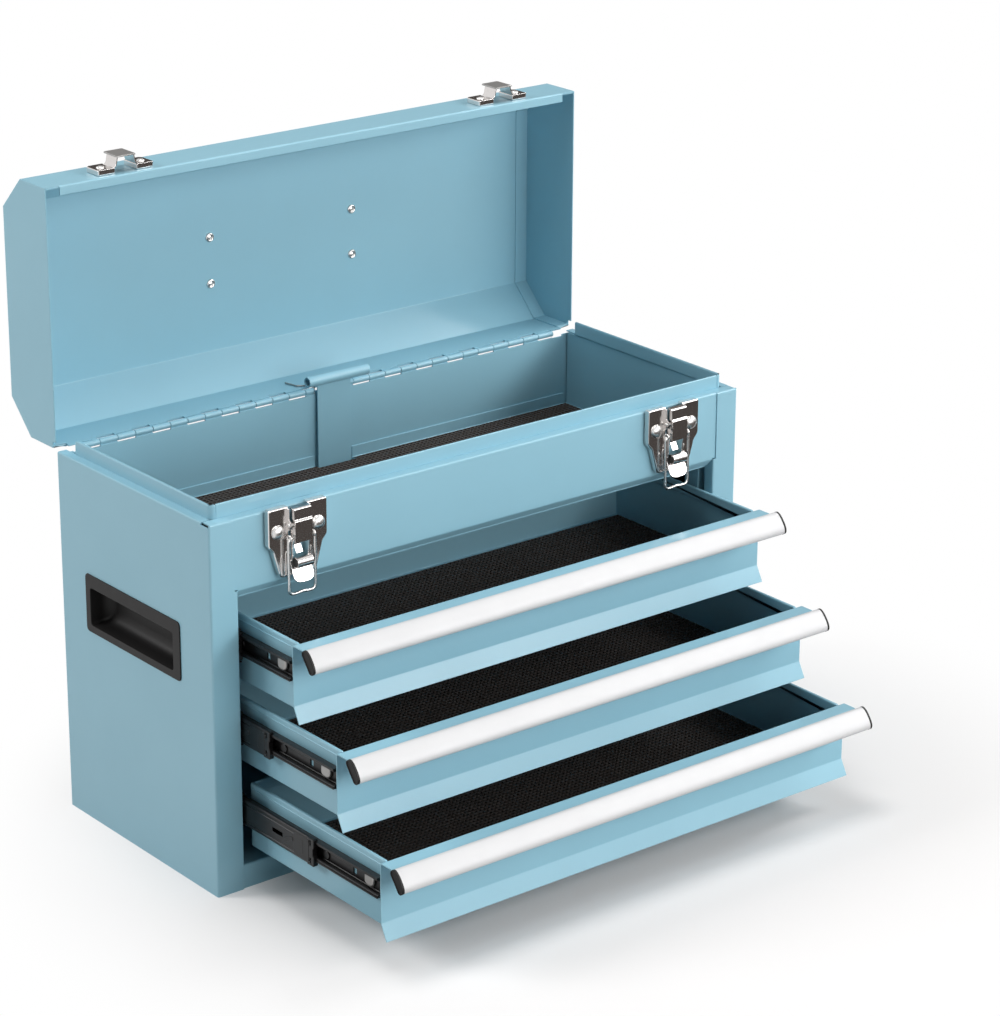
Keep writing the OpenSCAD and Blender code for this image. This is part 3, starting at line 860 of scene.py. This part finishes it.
def makeRivet(radius, height):
    # a domed head on a thin collar, facing front
    deselectAll()
    bpy.ops.mesh.primitive_uv_sphere_add(segments=28, ring_count=16, radius=1)
    rivet = newest("rivet_head")
    startEdit(rivet, "FACE")
    selectAll()
    bpy.ops.mesh.bisect(plane_co=(0, 0, 0), plane_no=(0, 0, 1), clear_inner=True)
    pick(rivet, "edges", lambda edge: edge.is_boundary)
    bpy.ops.mesh.extrude_region_move(TRANSFORM_OT_translate={"value": (0, 0, -latchShape["rivetCollar"])})
    endEdit()
    rivet.scale = (radius * mm, radius * mm, height * mm)
    rivet.rotation_euler = (math.pi / 2, 0, 0)
    applyPlace(rivet)
    smoothByAngle(rivet, 40)
    return rivet


def makeTube(name, low, high, outer, inner, y, z, rim):
    deselectAll()
    bpy.ops.mesh.primitive_circle_add(vertices=36, radius=outer * mm, fill_type="NOTHING",
                                      rotation=(0, math.pi / 2, 0), location=(low * mm, y * mm, z * mm))
    tube = newest(name)
    applyPlace(tube)
    startEdit(tube, "EDGE")
    selectAll()
    extrudeBy(high - low, 0, 0)
    faceOutward()
    endEdit()
    thicken(tube, outer - inner, -1, rim, angle=60)
    return tube


def makeLatchBase():
    face, half, foot = (latchShape[key] for key in ("face", "windowHalf", "windowFoot"))
    plate = drawPlate("latch_plate", bothSides(latchShape["outline"]) + latchShape["window"], "xz", face)
    startEdit(plate, "EDGE")
    pick(plate, "edges", lambda edge: edge.is_boundary)
    extrudeBy(0, latchShape["deep"], 0)
    faceOutward()
    pickEdges(plate, {1: face}, lambda at: abs(at.x) > half or at.z < foot)
    bevelEdges(latchShape["edge"], 4)
    endEdit()
    roundEdges(plate, latchShape["rounding"], 3, 32)
    parts = [plate]
    narrow, broad, start = latchShape["flute"]
    for side in (-1, 1):
        for x, low, high in latchShape["flutes"]:
            x *= side
            points = [(x - narrow, low), (x + narrow, low), (x + broad, high - 1), (x, high + 1.5),
                      (x - broad, high - 1)]
            parts.append(makePlate("latch_flute", points, "xz", start, -1.1, 0.7, 4))
        at = side * latchShape["earAt"]
        parts.append(makePlate("latch_ear", latchShape["ear"], "yz", at, side * 1.2, 0.35, 3))
    return joinPieces("latch_base", parts)


def makeLever():
    half, level = leverShape["half"], leverShape["tabLevel"]
    face = drawSheet("lever_face", leverShape["line"], -half, half, [0.5, 0.5, 1.3])
    thicken(face, 1.0, -1, 0.3, 3, angle=60)
    parts = [face] + [makePlate("lever_cheek", leverShape["cheek"], "yz", side * half, -side * 1.1, 0.35, 3)
                      for side in (-1, 1)]
    parts.append(makeTube("lever_curl", *leverShape["curl"], 0.3))
    tab = makePlate("lever_tab", bothSides(leverShape["tab"]), "xz", level, -1.2, 0.4, 3)
    strap = makePlate("lever_strap", leverShape["strap"], "xz", level, -1.0, 0.35, 3)
    for piece in (tab, strap):
        applyPlace(piece, tip(leverShape["tilt"], *leverShape["tiltAt"]))
    spring = drawSheet("lever_spring", leverShape["spring"], *leverShape["springRun"], [])
    thicken(spring, 0.7, -1, 0.2)
    return joinPieces("latch_lever", parts + [tab, strap, spring])


def makeLeverShadePlug():
    # a black plug in the roll's hollow below the window, painted shade for the dark inside of the roll
    left, right, outer, inner, y, z = leverShape["curl"]
    inset = leverShape["shade_plug"]
    return makePlate("lever_shade_plug", circle(y, z, inner), "yz", left + inset, right - left - 2 * inset, 0.3)


def makeWire(name, points, radius):
    deselectAll()
    bpy.ops.curve.primitive_bezier_curve_add()
    wire = newest(name)
    wire.data.splines.clear()
    spline = wire.data.splines.new("POLY")
    spline.points.add(len(points) - 1)
    for point, place in zip(spline.points, points):
        point.co = (place[0] * mm, place[1] * mm, place[2] * mm, 1)
    wire.data.dimensions = "3D"
    wire.data.bevel_depth = radius * mm
    wire.data.bevel_resolution = 4
    wire.data.use_fill_caps = True
    activate(wire)
    bpy.ops.object.convert(target="MESH")
    wire = bpy.context.object
    applyPlace(wire)
    smoothByAngle(wire, 40)
    return wire


bailShape = {
    "level": -113.6,            # in Y
    "start": (7.4, 278),
    "drop": 44.35,
    "shoulder": (8.9, 3.1),     # middle and radius of the bend beside the pin
    "corner": (8.0, 4.0),       # and of the one at the bottom
    "dip": [(4.5, 0.05), (2.5, 0.45), (0, 0.6)],    # the bottom's rise towards its middle
    "wire": 1.15,
    "coil": (10.1, 1.2, 2.0, 0.75),     # on the pin: from, length, radius, wire
}


def makeBail():
    y = bailShape["level"]
    start, top = bailShape["start"]
    low = top - bailShape["drop"]
    x, radius = bailShape["shoulder"]
    path = [(start, top)] + arc(x, top - radius, radius, 90, 0, 6)
    x, radius = bailShape["corner"]
    path += arc(x, low + radius, radius, 0, -90, 7) + [(x, low + rise) for x, rise in bailShape["dip"]]
    path = bothSides(path[:-1], path[-1:])
    wires = [makeWire("bail_wire", [(x, y, z) for x, z in path], bailShape["wire"])]
    start, length, radius, wire = bailShape["coil"]
    turns = [step * math.pi / 8 for step in range(25)]
    for side in (-1, 1):
        coil = [(side * (start + length * step / 24), y + radius * math.sin(turn), top + radius * math.cos(turn))
                for step, turn in enumerate(turns)]
        wires.append(makeWire("bail_coil", coil, wire))
    return joinPieces("latch_bail", wires)


catchShape = {
    "line": [(-25, -108.6), (-9.6, -108.6), (-7.7, -117.4), (7.7, -117.4), (9.6, -108.6), (25, -108.6)],
    "deep": (305.2, 319.9),
    "bends": [3.6, 1.0, 1.0, 3.6],
    "roof": (8.6, 304.2, 324.0, -116.5),
    "ear": [(9.8, 305.2), (24.4, 305.2), (25.2, 306), (25.2, 321.6), (22.6, 323.8), (9.8, 323.8)],
    "rise": (-108.5, 4.4),          # top of the ears and how far their edges turn down
    "rivet": (3.3, 1.5),
    "rivetAt": (18.2, -108.6, 313),
}


def makeCatch():
    band = drawSheet("catch_band", catchShape["line"], *catchShape["deep"], catchShape["bends"], 6)
    applyPlace(band, upright)
    thicken(band, 1.0, 1, 0.25, 3, angle=60)
    parts = [band]
    top, drop = catchShape["rise"]
    for side in (-1, 1):
        points = [(side * x, z) for x, z in catchShape["ear"]]
        parts.append(makePlate("catch_ear", points, "xz", top, drop, 0.7, 4))
    return joinPieces("lid_catch", parts)


def makeRoof():
    half, low, high, level = catchShape["roof"]
    points = [(-half, low), (half, low), (half, high - 1), (half - 1, high), (1 - half, high), (-half, high - 1)]
    return makePlate("catch_roof", points, "xz", level, -1.15, 0.35, 3)


def makeLatches():
    at = latchShape["at"]
    models = [makeLatchBase(), makeLever(), makeBail(), makeCatch(), makeRoof(), makeLeverShadePlug()]
    base, lever, bail, catch, roof, shade_plug = models
    places = {"left": shift(1 - at, 0, 0), "right": shift(at + 1, 0, 0)}
    still = Matrix.Identity(4)
    for name, model, pose, *rest in (("latch_bases_plated", base, still, "case", "chrome", "latch_bases"),
                                     ("lid_catches_plated", catch, lidOpen, "lid", "chrome", "lid_catches"),
                                     ("catch_roofs", roof, lidOpen, "lid", "pin_steel")):
        copies = [duplicate(model, "copy", pose @ place) for place in places.values()]
        finishPiece(joinPieces(name, copies), *rest)
    for side, place in places.items():
        for name, model, *rest in ((f"latch_lever_{side}_plated", lever, f"lever_{side}", "chrome",
                                    f"latch_lever_{side}"),
                                   # a black plug inside each lever's roll paints the shade of its hollow
                                   (f"lever_core_{side}", shade_plug, f"lever_{side}", "slide_black"),
                                   (f"latch_bail_{side}_wire", bail, f"bail_{side}", "bright_steel",
                                    f"latch_bail_{side}")):
            finishPiece(duplicate(model, name, place), *rest)
    for name, body, shape, pose in (("latch_rivets", "case", latchShape, still),
                                    ("catch_rivets", "lid", catchShape, lidOpen)):
        rivet = makeRivet(*shape["rivet"])
        x, y, z = shape["rivetAt"]
        copies = [duplicate(rivet, "rivet", pose @ place @ shift(side * x, y, z))
                  for place in places.values() for side in (-1, 1)]
        finishPiece(joinPieces(name + "_domed", copies), body, "bright_steel", name)
        models.append(rivet)
    removeModels(*models)


makeLatches()
print("latches ready")


slideShape = {
    "drop": 21.5,                       # from the drawer's top edge to the middle of its slides
    "inner": (226, 232.6, 9.2, 7.1),    # web, lip of the flanges, height above and below
    "innerRun": (2, 168),
    "innerGrooves": (1.5, 2.1),         # in from the lower and the upper edge
    "slot": (33.7, 37.8, -2.2, 5.2),
    "track": [(4.4, 1.3), (0.4, 1.3), (0.4, 2.3), (1.6, 3), (3.6, 2.7)],    # in from the lip and from the edge
    "studs": (3.6, 70, 120),            # radius and places
    "boss": (15.9, 1.9, 5.4, 5.0, 3.6),     # its place along the slide and up, half its size, corner
    "middle": (234.2, 230.8, 11.15),
    "middleRun": (4.5, 150),
    "middleGrooves": (-7.6, 7.6),
    "middleFront": (-100, -138, -192),
    "window": (39, 52, -1.7, 1.9),
    "pads": [
        # name, place along, half its size, corner, in from the web, thickness, rim, tilt in degrees
        ("lance", 31, 6.0, 1.9, 1.8, 0.3, 0.65, 0.35, 24),
        ("block", 15, 9.5, 9.3, 1.4, 0.6, 0.85, 0.3, 0),
        ("rib", 13.8, 1.3, 6.0, 1.2, 0.5, 0.85, 0.35, 0),
    ],
    "bumper": [(0.0, 11.1), (7.5, 11.1), (7.5, 9.4), (3.0, 9.2), (3.0, 5.2), (5.5, 4.4), (5.5, -4.4), (3.0, -5.2),
               (3.0, -9.2), (7.5, -9.4), (7.5, -11.1), (0.0, -11.1), (-0.7, -10.4), (-0.7, -4.0), (0.5, -2.6),
               (0.5, 2.6), (-0.7, 4.0), (-0.7, 10.4)],
    "bumperDeep": (230.2, 4.2),
}


def makeRail(name, web, lip, heights, run, bend, hole, grooves, depth, half):
    # a channel drawn from the first height to the second, with a hole and two pressed grooves in its web
    first, second = heights
    rail = drawSheet(name, [(lip, first), (web, first), (web, second), (lip, second)], *run, [bend, bend])
    low, high, bottom, top = hole
    startEdit(rail, "EDGE")
    for axis, place in ((0, low), (0, high), (2, bottom), (2, top)):
        bisectAt(rail, axis, place)
    deleteFaces(rail, lambda at: low < at.x < high and bottom < at.z < top and near(at.y, web, 0.1))
    for level in grooves:
        for share in (-1, -0.4, 0.4, 1):
            bisectAt(rail, 2, level + half * share)
        pick(rail, "verts", lambda vert: abs(vert.co.z / mm - level) < half * 0.6
             and near(vert.co.y / mm, web, 0.05))
        bpy.ops.transform.translate(value=(0, depth * mm, 0))
    endEdit()
    return rail


def makeInnerSlide():
    web, lip, above, below = slideShape["inner"]
    low, high = slideShape["innerRun"]
    fromLow, fromHigh = slideShape["innerGrooves"]
    slide = makeRail("slide_inner", web, lip, (-below, above), (low, high), 1.6, slideShape["slot"],
                     (fromLow - below, above - fromHigh), 0.5, 0.8)
    thicken(slide, 1.2, -1, 0.25, angle=55)
    parts = [slide]
    for side, reach in ((-1, below), (1, above)):
        points = [(lip - a, side * (reach - b)) for a, b in slideShape["track"]]
        parts.append(makePlate("slide_track", points, "yz", low, high - low, 0.25))
    radius, *places = slideShape["studs"]
    for x in places:
        parts.append(makePlate("slide_stud", circle(x, 0, radius), "xz", web + 1.0, 1.3, 0.6, 3))
    return joinPieces("slide_inner", parts)


def makeBoss():
    along, up, a, b, corner = slideShape["boss"]
    return makePlate("slide_boss", roundedRectangle(a, b, corner, along, up), "xz", slideShape["inner"][0] + 0.9,
                     3.0, 2.8, 8)


def makeMiddleSlide():
    web, lip, half = slideShape["middle"]
    slide = makeRail("slide_middle", web, lip, (half, -half), slideShape["middleRun"], 1.7, slideShape["window"],
                     slideShape["middleGrooves"], -0.5, 0.9)
    thicken(slide, 1.0, -1, 0.25, angle=55)
    parts = [slide]
    for name, at, a, b, corner, inset, thickness, rim, tilt in slideShape["pads"]:
        pad = makePlate("slide_" + name, roundedRectangle(a, b, corner), "xz", web - inset, thickness, rim, 3)
        applyPlace(pad, shift(at, 0, 0) @ Matrix.Rotation(math.radians(tilt), 4, "Y"))
        parts.append(pad)
    parts.append(makePlate("slide_bumper", slideShape["bumper"], "xz", *slideShape["bumperDeep"], 0.5, 3))
    return joinPieces("slide_middle", parts)


def makeSlides():
    models = [makeInnerSlide(), makeMiddleSlide(), makeBoss()]
    for model in models:
        applyPlace(model, sideways)
    inner, middle, boss = models
    down = shift(0, 0, -slideShape["drop"])
    for row, (place, front, level) in enumerate(zip(drawerOut, slideShape["middleFront"],
                                                    restPose["drawerLevels"]), 1):
        outward = place @ down
        halfway = shift(0, front, level) @ down
        drawer = f"drawer_{row}"
        finishPair(boss, f"slide_bosses_{row}", outward, drawer, "pin_steel")
        finishPair(inner, f"slide_inner_{row}_rolled", outward, drawer, "slide_black", f"slide_inner_{row}")
        finishPair(middle, f"slide_middle_{row}_rolled", halfway, f"middle_{row}", "slide_black",
                   f"slide_middle_{row}")
    removeModels(*models)


makeSlides()
print("slides ready")


lockShape = {
    "plate": (-15.5, 18, 80, 308),
    "back": 101,
    "lean": (0.8, 1.5),     # how far the top edge leans forward, and from how far below it
    "tube": (-27.7, 32.9, 4.4, 3.1, 97, 310.8),    # from, to, outer and inner radius, Y, Z
    "hooks": [214, 147, 80],
    "hook": [(99.8, 10.9), (86.7, 10.9), (86.7, 2.5)],
    "hookRun": (-8, 10),
}


def makeLock():
    low, high, bottom, top = lockShape["plate"]
    back = lockShape["back"]
    lean, below = lockShape["lean"]
    plate = drawSheet("lock_sheet", [(back, bottom), (back, top - below), (back - lean, top)], low, high, [2.0])
    thicken(plate, 1.2, 1, 0.3)
    parts = [plate, makeTube("lock_tube", *lockShape["tube"], 0.35)]
    for level in lockShape["hooks"]:
        line = [(y, level + z) for y, z in lockShape["hook"]]
        hook = drawSheet("lock_hook", line, *lockShape["hookRun"], [1.6])
        thicken(hook, 1.3, -1, 0.25)
        parts.append(hook)
    finishPiece(joinPieces("lock_plate_folded", parts), bodyOf("lock_plate"), slotOf["lock_plate"], "lock_plate")


makeLock()
for name in ("hinge_pins", "lever_pins"):
    softenedCopy(name, rim=0.35)
print("lock ready")


matShape = {
    "pitch": 4.1,
    "bar": 0.62,
    "pit": (0.25, 1.1),     # its wall's width and its depth
    "tray": (-250, 250, -87, 101, 235, 237),        # from and to across, back and up
    "lockGap": (-18, 20.5, 96),
    "drawer": (-224.5, 224.5, 3, 166, -52, -50.2),
}


def makeMat(name, x0, x1, y0, y1, bottom, top, gap=None):
    columns, rows = round((x1 - x0) / matShape["pitch"]), round((y1 - y0) / matShape["pitch"])
    deselectAll()
    bpy.ops.mesh.primitive_grid_add(x_subdivisions=columns, y_subdivisions=rows, size=1)
    mat = newest(name)
    mat.scale = ((x1 - x0) * mm, (y1 - y0) * mm, 1)
    mat.location = ((x0 + x1) / 2 * mm, (y0 + y1) / 2 * mm, top * mm)
    applyPlace(mat)
    startEdit(mat, "FACE")
    if gap:
        deleteFaces(mat, lambda at: gap[0] < at.x < gap[1] and at.y > gap[2])
    pick(mat, "edges", lambda edge: edge.is_boundary)
    extrudeBy(0, 0, bottom - top)
    pick(mat, "faces", lambda face: allNear(face, 2, top))
    bpy.ops.mesh.inset(thickness=matShape["bar"] * mm, depth=0, use_individual=True)
    wall, deep = matShape["pit"]
    bpy.ops.mesh.inset(thickness=wall * mm, depth=-deep * mm, use_individual=True)
    endEdit()
    return mat


def makeMats():
    tray = makeMat("tray_liner_mat", *matShape["tray"], matShape["lockGap"])
    finishPiece(tray, "case", "liner_mat", "tray_liner")
    mat = makeMat("drawer_liner_mat", *matShape["drawer"])
    for row, place in enumerate(drawerOut, 1):
        finishPiece(duplicate(mat, f"drawer_liner_{row}_mat", place), f"drawer_{row}", "liner_mat",
                    f"drawer_liner_{row}")
    removeModels(mat)


makeMats()
print("mats ready")


gripShape = {
    "outer": [(-103.5, 366, 0), (-103.5, 381, 14), (-68, 443, 26), (68, 443, 26), (104.5, 381, 14), (104.5, 366, 0)],
    "inner": [(82, 366, 0), (82, 390, 14), (65, 415, 16), (-63.5, 415, 16), (-81, 389, 14), (-81, 366, 0)],
    "half": 11,
    "round": 7.6,
}


def roundedCorners(points, steps=6):
    # each corner with its own radius, as an arc
    outline = []
    for index, (x, z, radius) in enumerate(points):
        corner = Vector((x, z))
        if not radius:
            outline.append((x, z))
            continue
        before = (Vector(points[index - 1][:2]) - corner).normalized()
        after = (Vector(points[(index + 1) % len(points)][:2]) - corner).normalized()
        half = before.angle(after) / 2
        middle = corner + (before + after).normalized() * radius / math.sin(half)
        start = corner + before * radius / math.tan(half) - middle
        stop = corner + after * radius / math.tan(half) - middle
        sweep = start.angle_signed(stop)
        for step in range(steps + 1):
            outline.append(middle + Matrix.Rotation(-sweep * step / steps, 2) @ start)
    return outline


def makeGrip():
    outline = roundedCorners(gripShape["outer"] + gripShape["inner"])
    half = gripShape["half"]
    grip = makePlate("handle_grip_moulded", outline, "xz", -half, 2 * half, gripShape["round"], 7, 45, 40)
    applyPlace(grip, gripDown)
    finishPiece(grip, "handle", "black_plastic", "handle_grip")


rivetShape = {
    # radius and height, and the level of the sheet they sit on
    "ring": ([(4, 0), (4, -0.5), (3.7, -1.0), (3.2, -1.4), (2.6, -1.4), (2.1, -1.0), (1.9, -0.5), (1.3, -0.6),
              (0.9, -1.1), (0.5, -1.2)], 363),
    "dome": ([(3.6, 0), (3.6, 0.4), (3.3, 0.8), (2.6, 1.1), (1.4, 1.25), (0.4, 1.28)], 365.4),
    "apart": (71, 19.5),
}


def makeTurned(name, outline, level):
    deselectAll()
    bpy.ops.mesh.primitive_circle_add(vertices=32, radius=outline[0][0] * mm, fill_type="NGON",
                                      location=(0, 0, (level + outline[0][1]) * mm))
    head = newest(name)
    applyPlace(head)
    startEdit(head, "FACE")
    selectAll()
    for (radius, height), (nextRadius, nextHeight) in zip(outline, outline[1:]):
        extrudeBy(0, 0, nextHeight - height)
        scale = nextRadius / radius
        bpy.ops.transform.resize(value=(scale, scale, 1), center_override=(0, 0, 0))
    faceOutward()
    endEdit()
    smoothByAngle(head, 50)
    return head


def makeLidRivets():
    # tubular rivets: a rolled ring with a hollow middle inside the lid, a low dome on top
    models = [makeTurned("rivet_" + kind, *rivetShape[kind]) for kind in ("ring", "dome")]
    across, along = rivetShape["apart"]
    copies = [duplicate(model, "rivet", lidOpen @ shift(across * i, along * j, 0))
              for model in models for i in (-1, 1) for j in (-1, 1)]
    finishPiece(joinPieces("handle_rivets_turned", copies), "lid", "bright_steel", "handle_rivets")
    removeModels(*models)


makeGrip()
makeLidRivets()
softenedCopy("handle_pins", rim=0.5, segments=3)
print("carry handle ready")


studio = {
    "floorSize": 40.0,
    "floorWhite": 0.6,
    "floorShown": (0.885, 0.868, 0.862),    # paper as the camera and the metal see it
    "fadeMiddle": (0.06, -0.16, 0),    # the drawn floor is darkest here and white beyond the fade
    "fadeStart": 0.22,
    "fadeEnd": 0.5,
    "ambient": 0.11,
    "camera": (-1.50898, -1.98881, 1.15072),
    "azimuth": -38.2811,
    "elevation": 19.3414,
    "roll": 0.0706,
    "focal": 119.436,
    "shift": (0.0332, -0.05889),
    "sensor": 36,
    "sees": 100,
    "card": (0.085, 0.075, 0.07, 1),
}


def seenDirectly(shader):
    # 1 for what the camera and reflections see, 0 for the light that falls on things
    path = shader.node("LightPath").socket.node
    camera, glossy, through = (Value(shader, path.outputs[f"Is {ray} Ray"])
                               for ray in ("Camera", "Glossy", "Transmission"))
    return shader.node("Math", {"operation": "MINIMUM"}, {0: camera + glossy + through, 1: 1.0})


def makeFloor():
    bpy.ops.mesh.primitive_grid_add(x_subdivisions=4, y_subdivisions=4, size=studio["floorSize"])
    floor = newest("studio_floor")
    paper, shader = newMaterial("paleFloor")
    white, shown = studio["floorWhite"], studio["floorShown"]
    visible = seenDirectly(shader)
    base = shader.node("BsdfDiffuse", inputs={"Color": (white, white, white, 1)})
    paler = shader.node("BsdfDiffuse", inputs={"Color": (*shown, 1)})
    clear = shader.node("Emission", inputs={"Color": (1, 1, 1, 1)})
    close = shader.node("MixShader", inputs={0: visible, 1: base, 2: paler})
    point = shader.node("TexCoord", output=3)
    away = shader.node("VectorMath", {"operation": "SUBTRACT"}, {0: point, 1: studio["fadeMiddle"]})
    distance = shader.node("VectorMath", {"operation": "LENGTH"}, {0: away}, 1)
    far = shader.node("MapRange", {"interpolation_type": "SMOOTHSTEP"},
                      {0: distance, 1: studio["fadeStart"], 2: studio["fadeEnd"], 3: 0.0, 4: 1.0})
    surface = shader.node("MixShader", inputs={0: far * visible, 1: close, 2: clear})
    shader.node("OutputMaterial", inputs={"Surface": surface})
    floor.data.materials.append(paper)


def makeWorld():
    world = bpy.data.worlds.new("studioWorld")
    bpy.context.scene.world = world
    world.use_nodes = True
    shader = Shader(world.node_tree)
    visible = seenDirectly(shader)
    ambient = shader.node("Background", inputs={"Color": (1, 1, 1, 1), "Strength": studio["ambient"]})
    white = shader.node("Background", inputs={"Color": (1, 1, 1, 1), "Strength": 1.0})
    surface = shader.node("MixShader", inputs={0: visible, 1: ambient, 2: white})
    shader.node("OutputWorld", inputs={"Surface": surface})


lamps = [
    # name, place, aim, width, height, watts
    ("top", (-0.35, -0.05, 2.6), (0, 0, 0.2), 0.9, 0.9, 20),
    ("front", (0.3, -3.0, 0.9), (0, 0, 0.25), 2.0, 1.2, 43),
    ("box", (1.75, -2.05, 1.45), (0, 0, 0.15), 1.8, 0.6, 29),
    ("right", (2.4, -0.6, 2.2), (0, 0, 0.2), 1.2, 1.2, 35),
    ("behind", (-2.2, 1.4, 1.8), (0, 0, 0.2), 1.0, 1.0, 42),
]


def makeLamps():
    for name, place, aim, width, height, watts in lamps:
        bpy.ops.object.light_add(type="AREA", location=place)
        lamp = newest(name)
        lamp.data.shape = "RECTANGLE"
        lamp.data.size = width
        lamp.data.size_y = height
        lamp.data.energy = watts
        lamp.rotation_euler = (Vector(aim) - Vector(place)).to_track_quat("-Z", "Y").to_euler()


def makeCamera():
    turn = math.radians(studio["azimuth"])
    lift = math.radians(studio["elevation"])
    back = Vector((math.sin(turn) * math.cos(lift), -math.cos(turn) * math.cos(lift), math.sin(lift)))
    right = Vector((math.cos(turn), math.sin(turn), 0))
    up = back.cross(right)
    facing = Matrix((right, up, back)).transposed()
    facing = facing @ Matrix.Rotation(math.radians(studio["roll"]), 3, "Z")
    bpy.ops.object.camera_add(location=studio["camera"], rotation=facing.to_euler())
    camera = bpy.context.object
    camera.data.sensor_fit = "HORIZONTAL"
    camera.data.sensor_width = studio["sensor"]
    camera.data.lens = studio["focal"]
    camera.data.shift_x, camera.data.shift_y = studio["shift"]
    camera.data.clip_end = studio["sees"]
    bpy.context.scene.camera = camera


flags = [
    # name, middle, width, depth, turn about X and Z in degrees
    ("floor", (1.85, -2.15, 0.0004), 4.3, 4.0, 0, 0),
    ("back", (1.5, 2.0, 1.3), 3.4, 1.1, 90, -38),
]


def makeFlags():
    # dark cards that only reflections see, so that bright metal has a dark side
    card, shader = newMaterial("darkCard")
    surface = shader.node("Emission", inputs={"Color": studio["card"], "Strength": 1.0})
    shader.node("OutputMaterial", inputs={"Surface": surface})
    for name, middle, width, depth, lean, turn in flags:
        bpy.ops.mesh.primitive_grid_add(x_subdivisions=2, y_subdivisions=2, size=1, location=middle,
                                        rotation=(math.radians(lean), 0, math.radians(turn)))
        flag = newest("studio_flag_" + name)
        flag.scale = (width, depth, 1)
        flag.data.materials.append(card)
        flag.visible_camera = flag.visible_diffuse = flag.visible_shadow = flag.visible_transmission = False


makeFloor()
makeFlags()
makeWorld()
makeLamps()
makeCamera()
bpy.context.scene.view_settings.view_transform = "Standard"
print("studio ready")
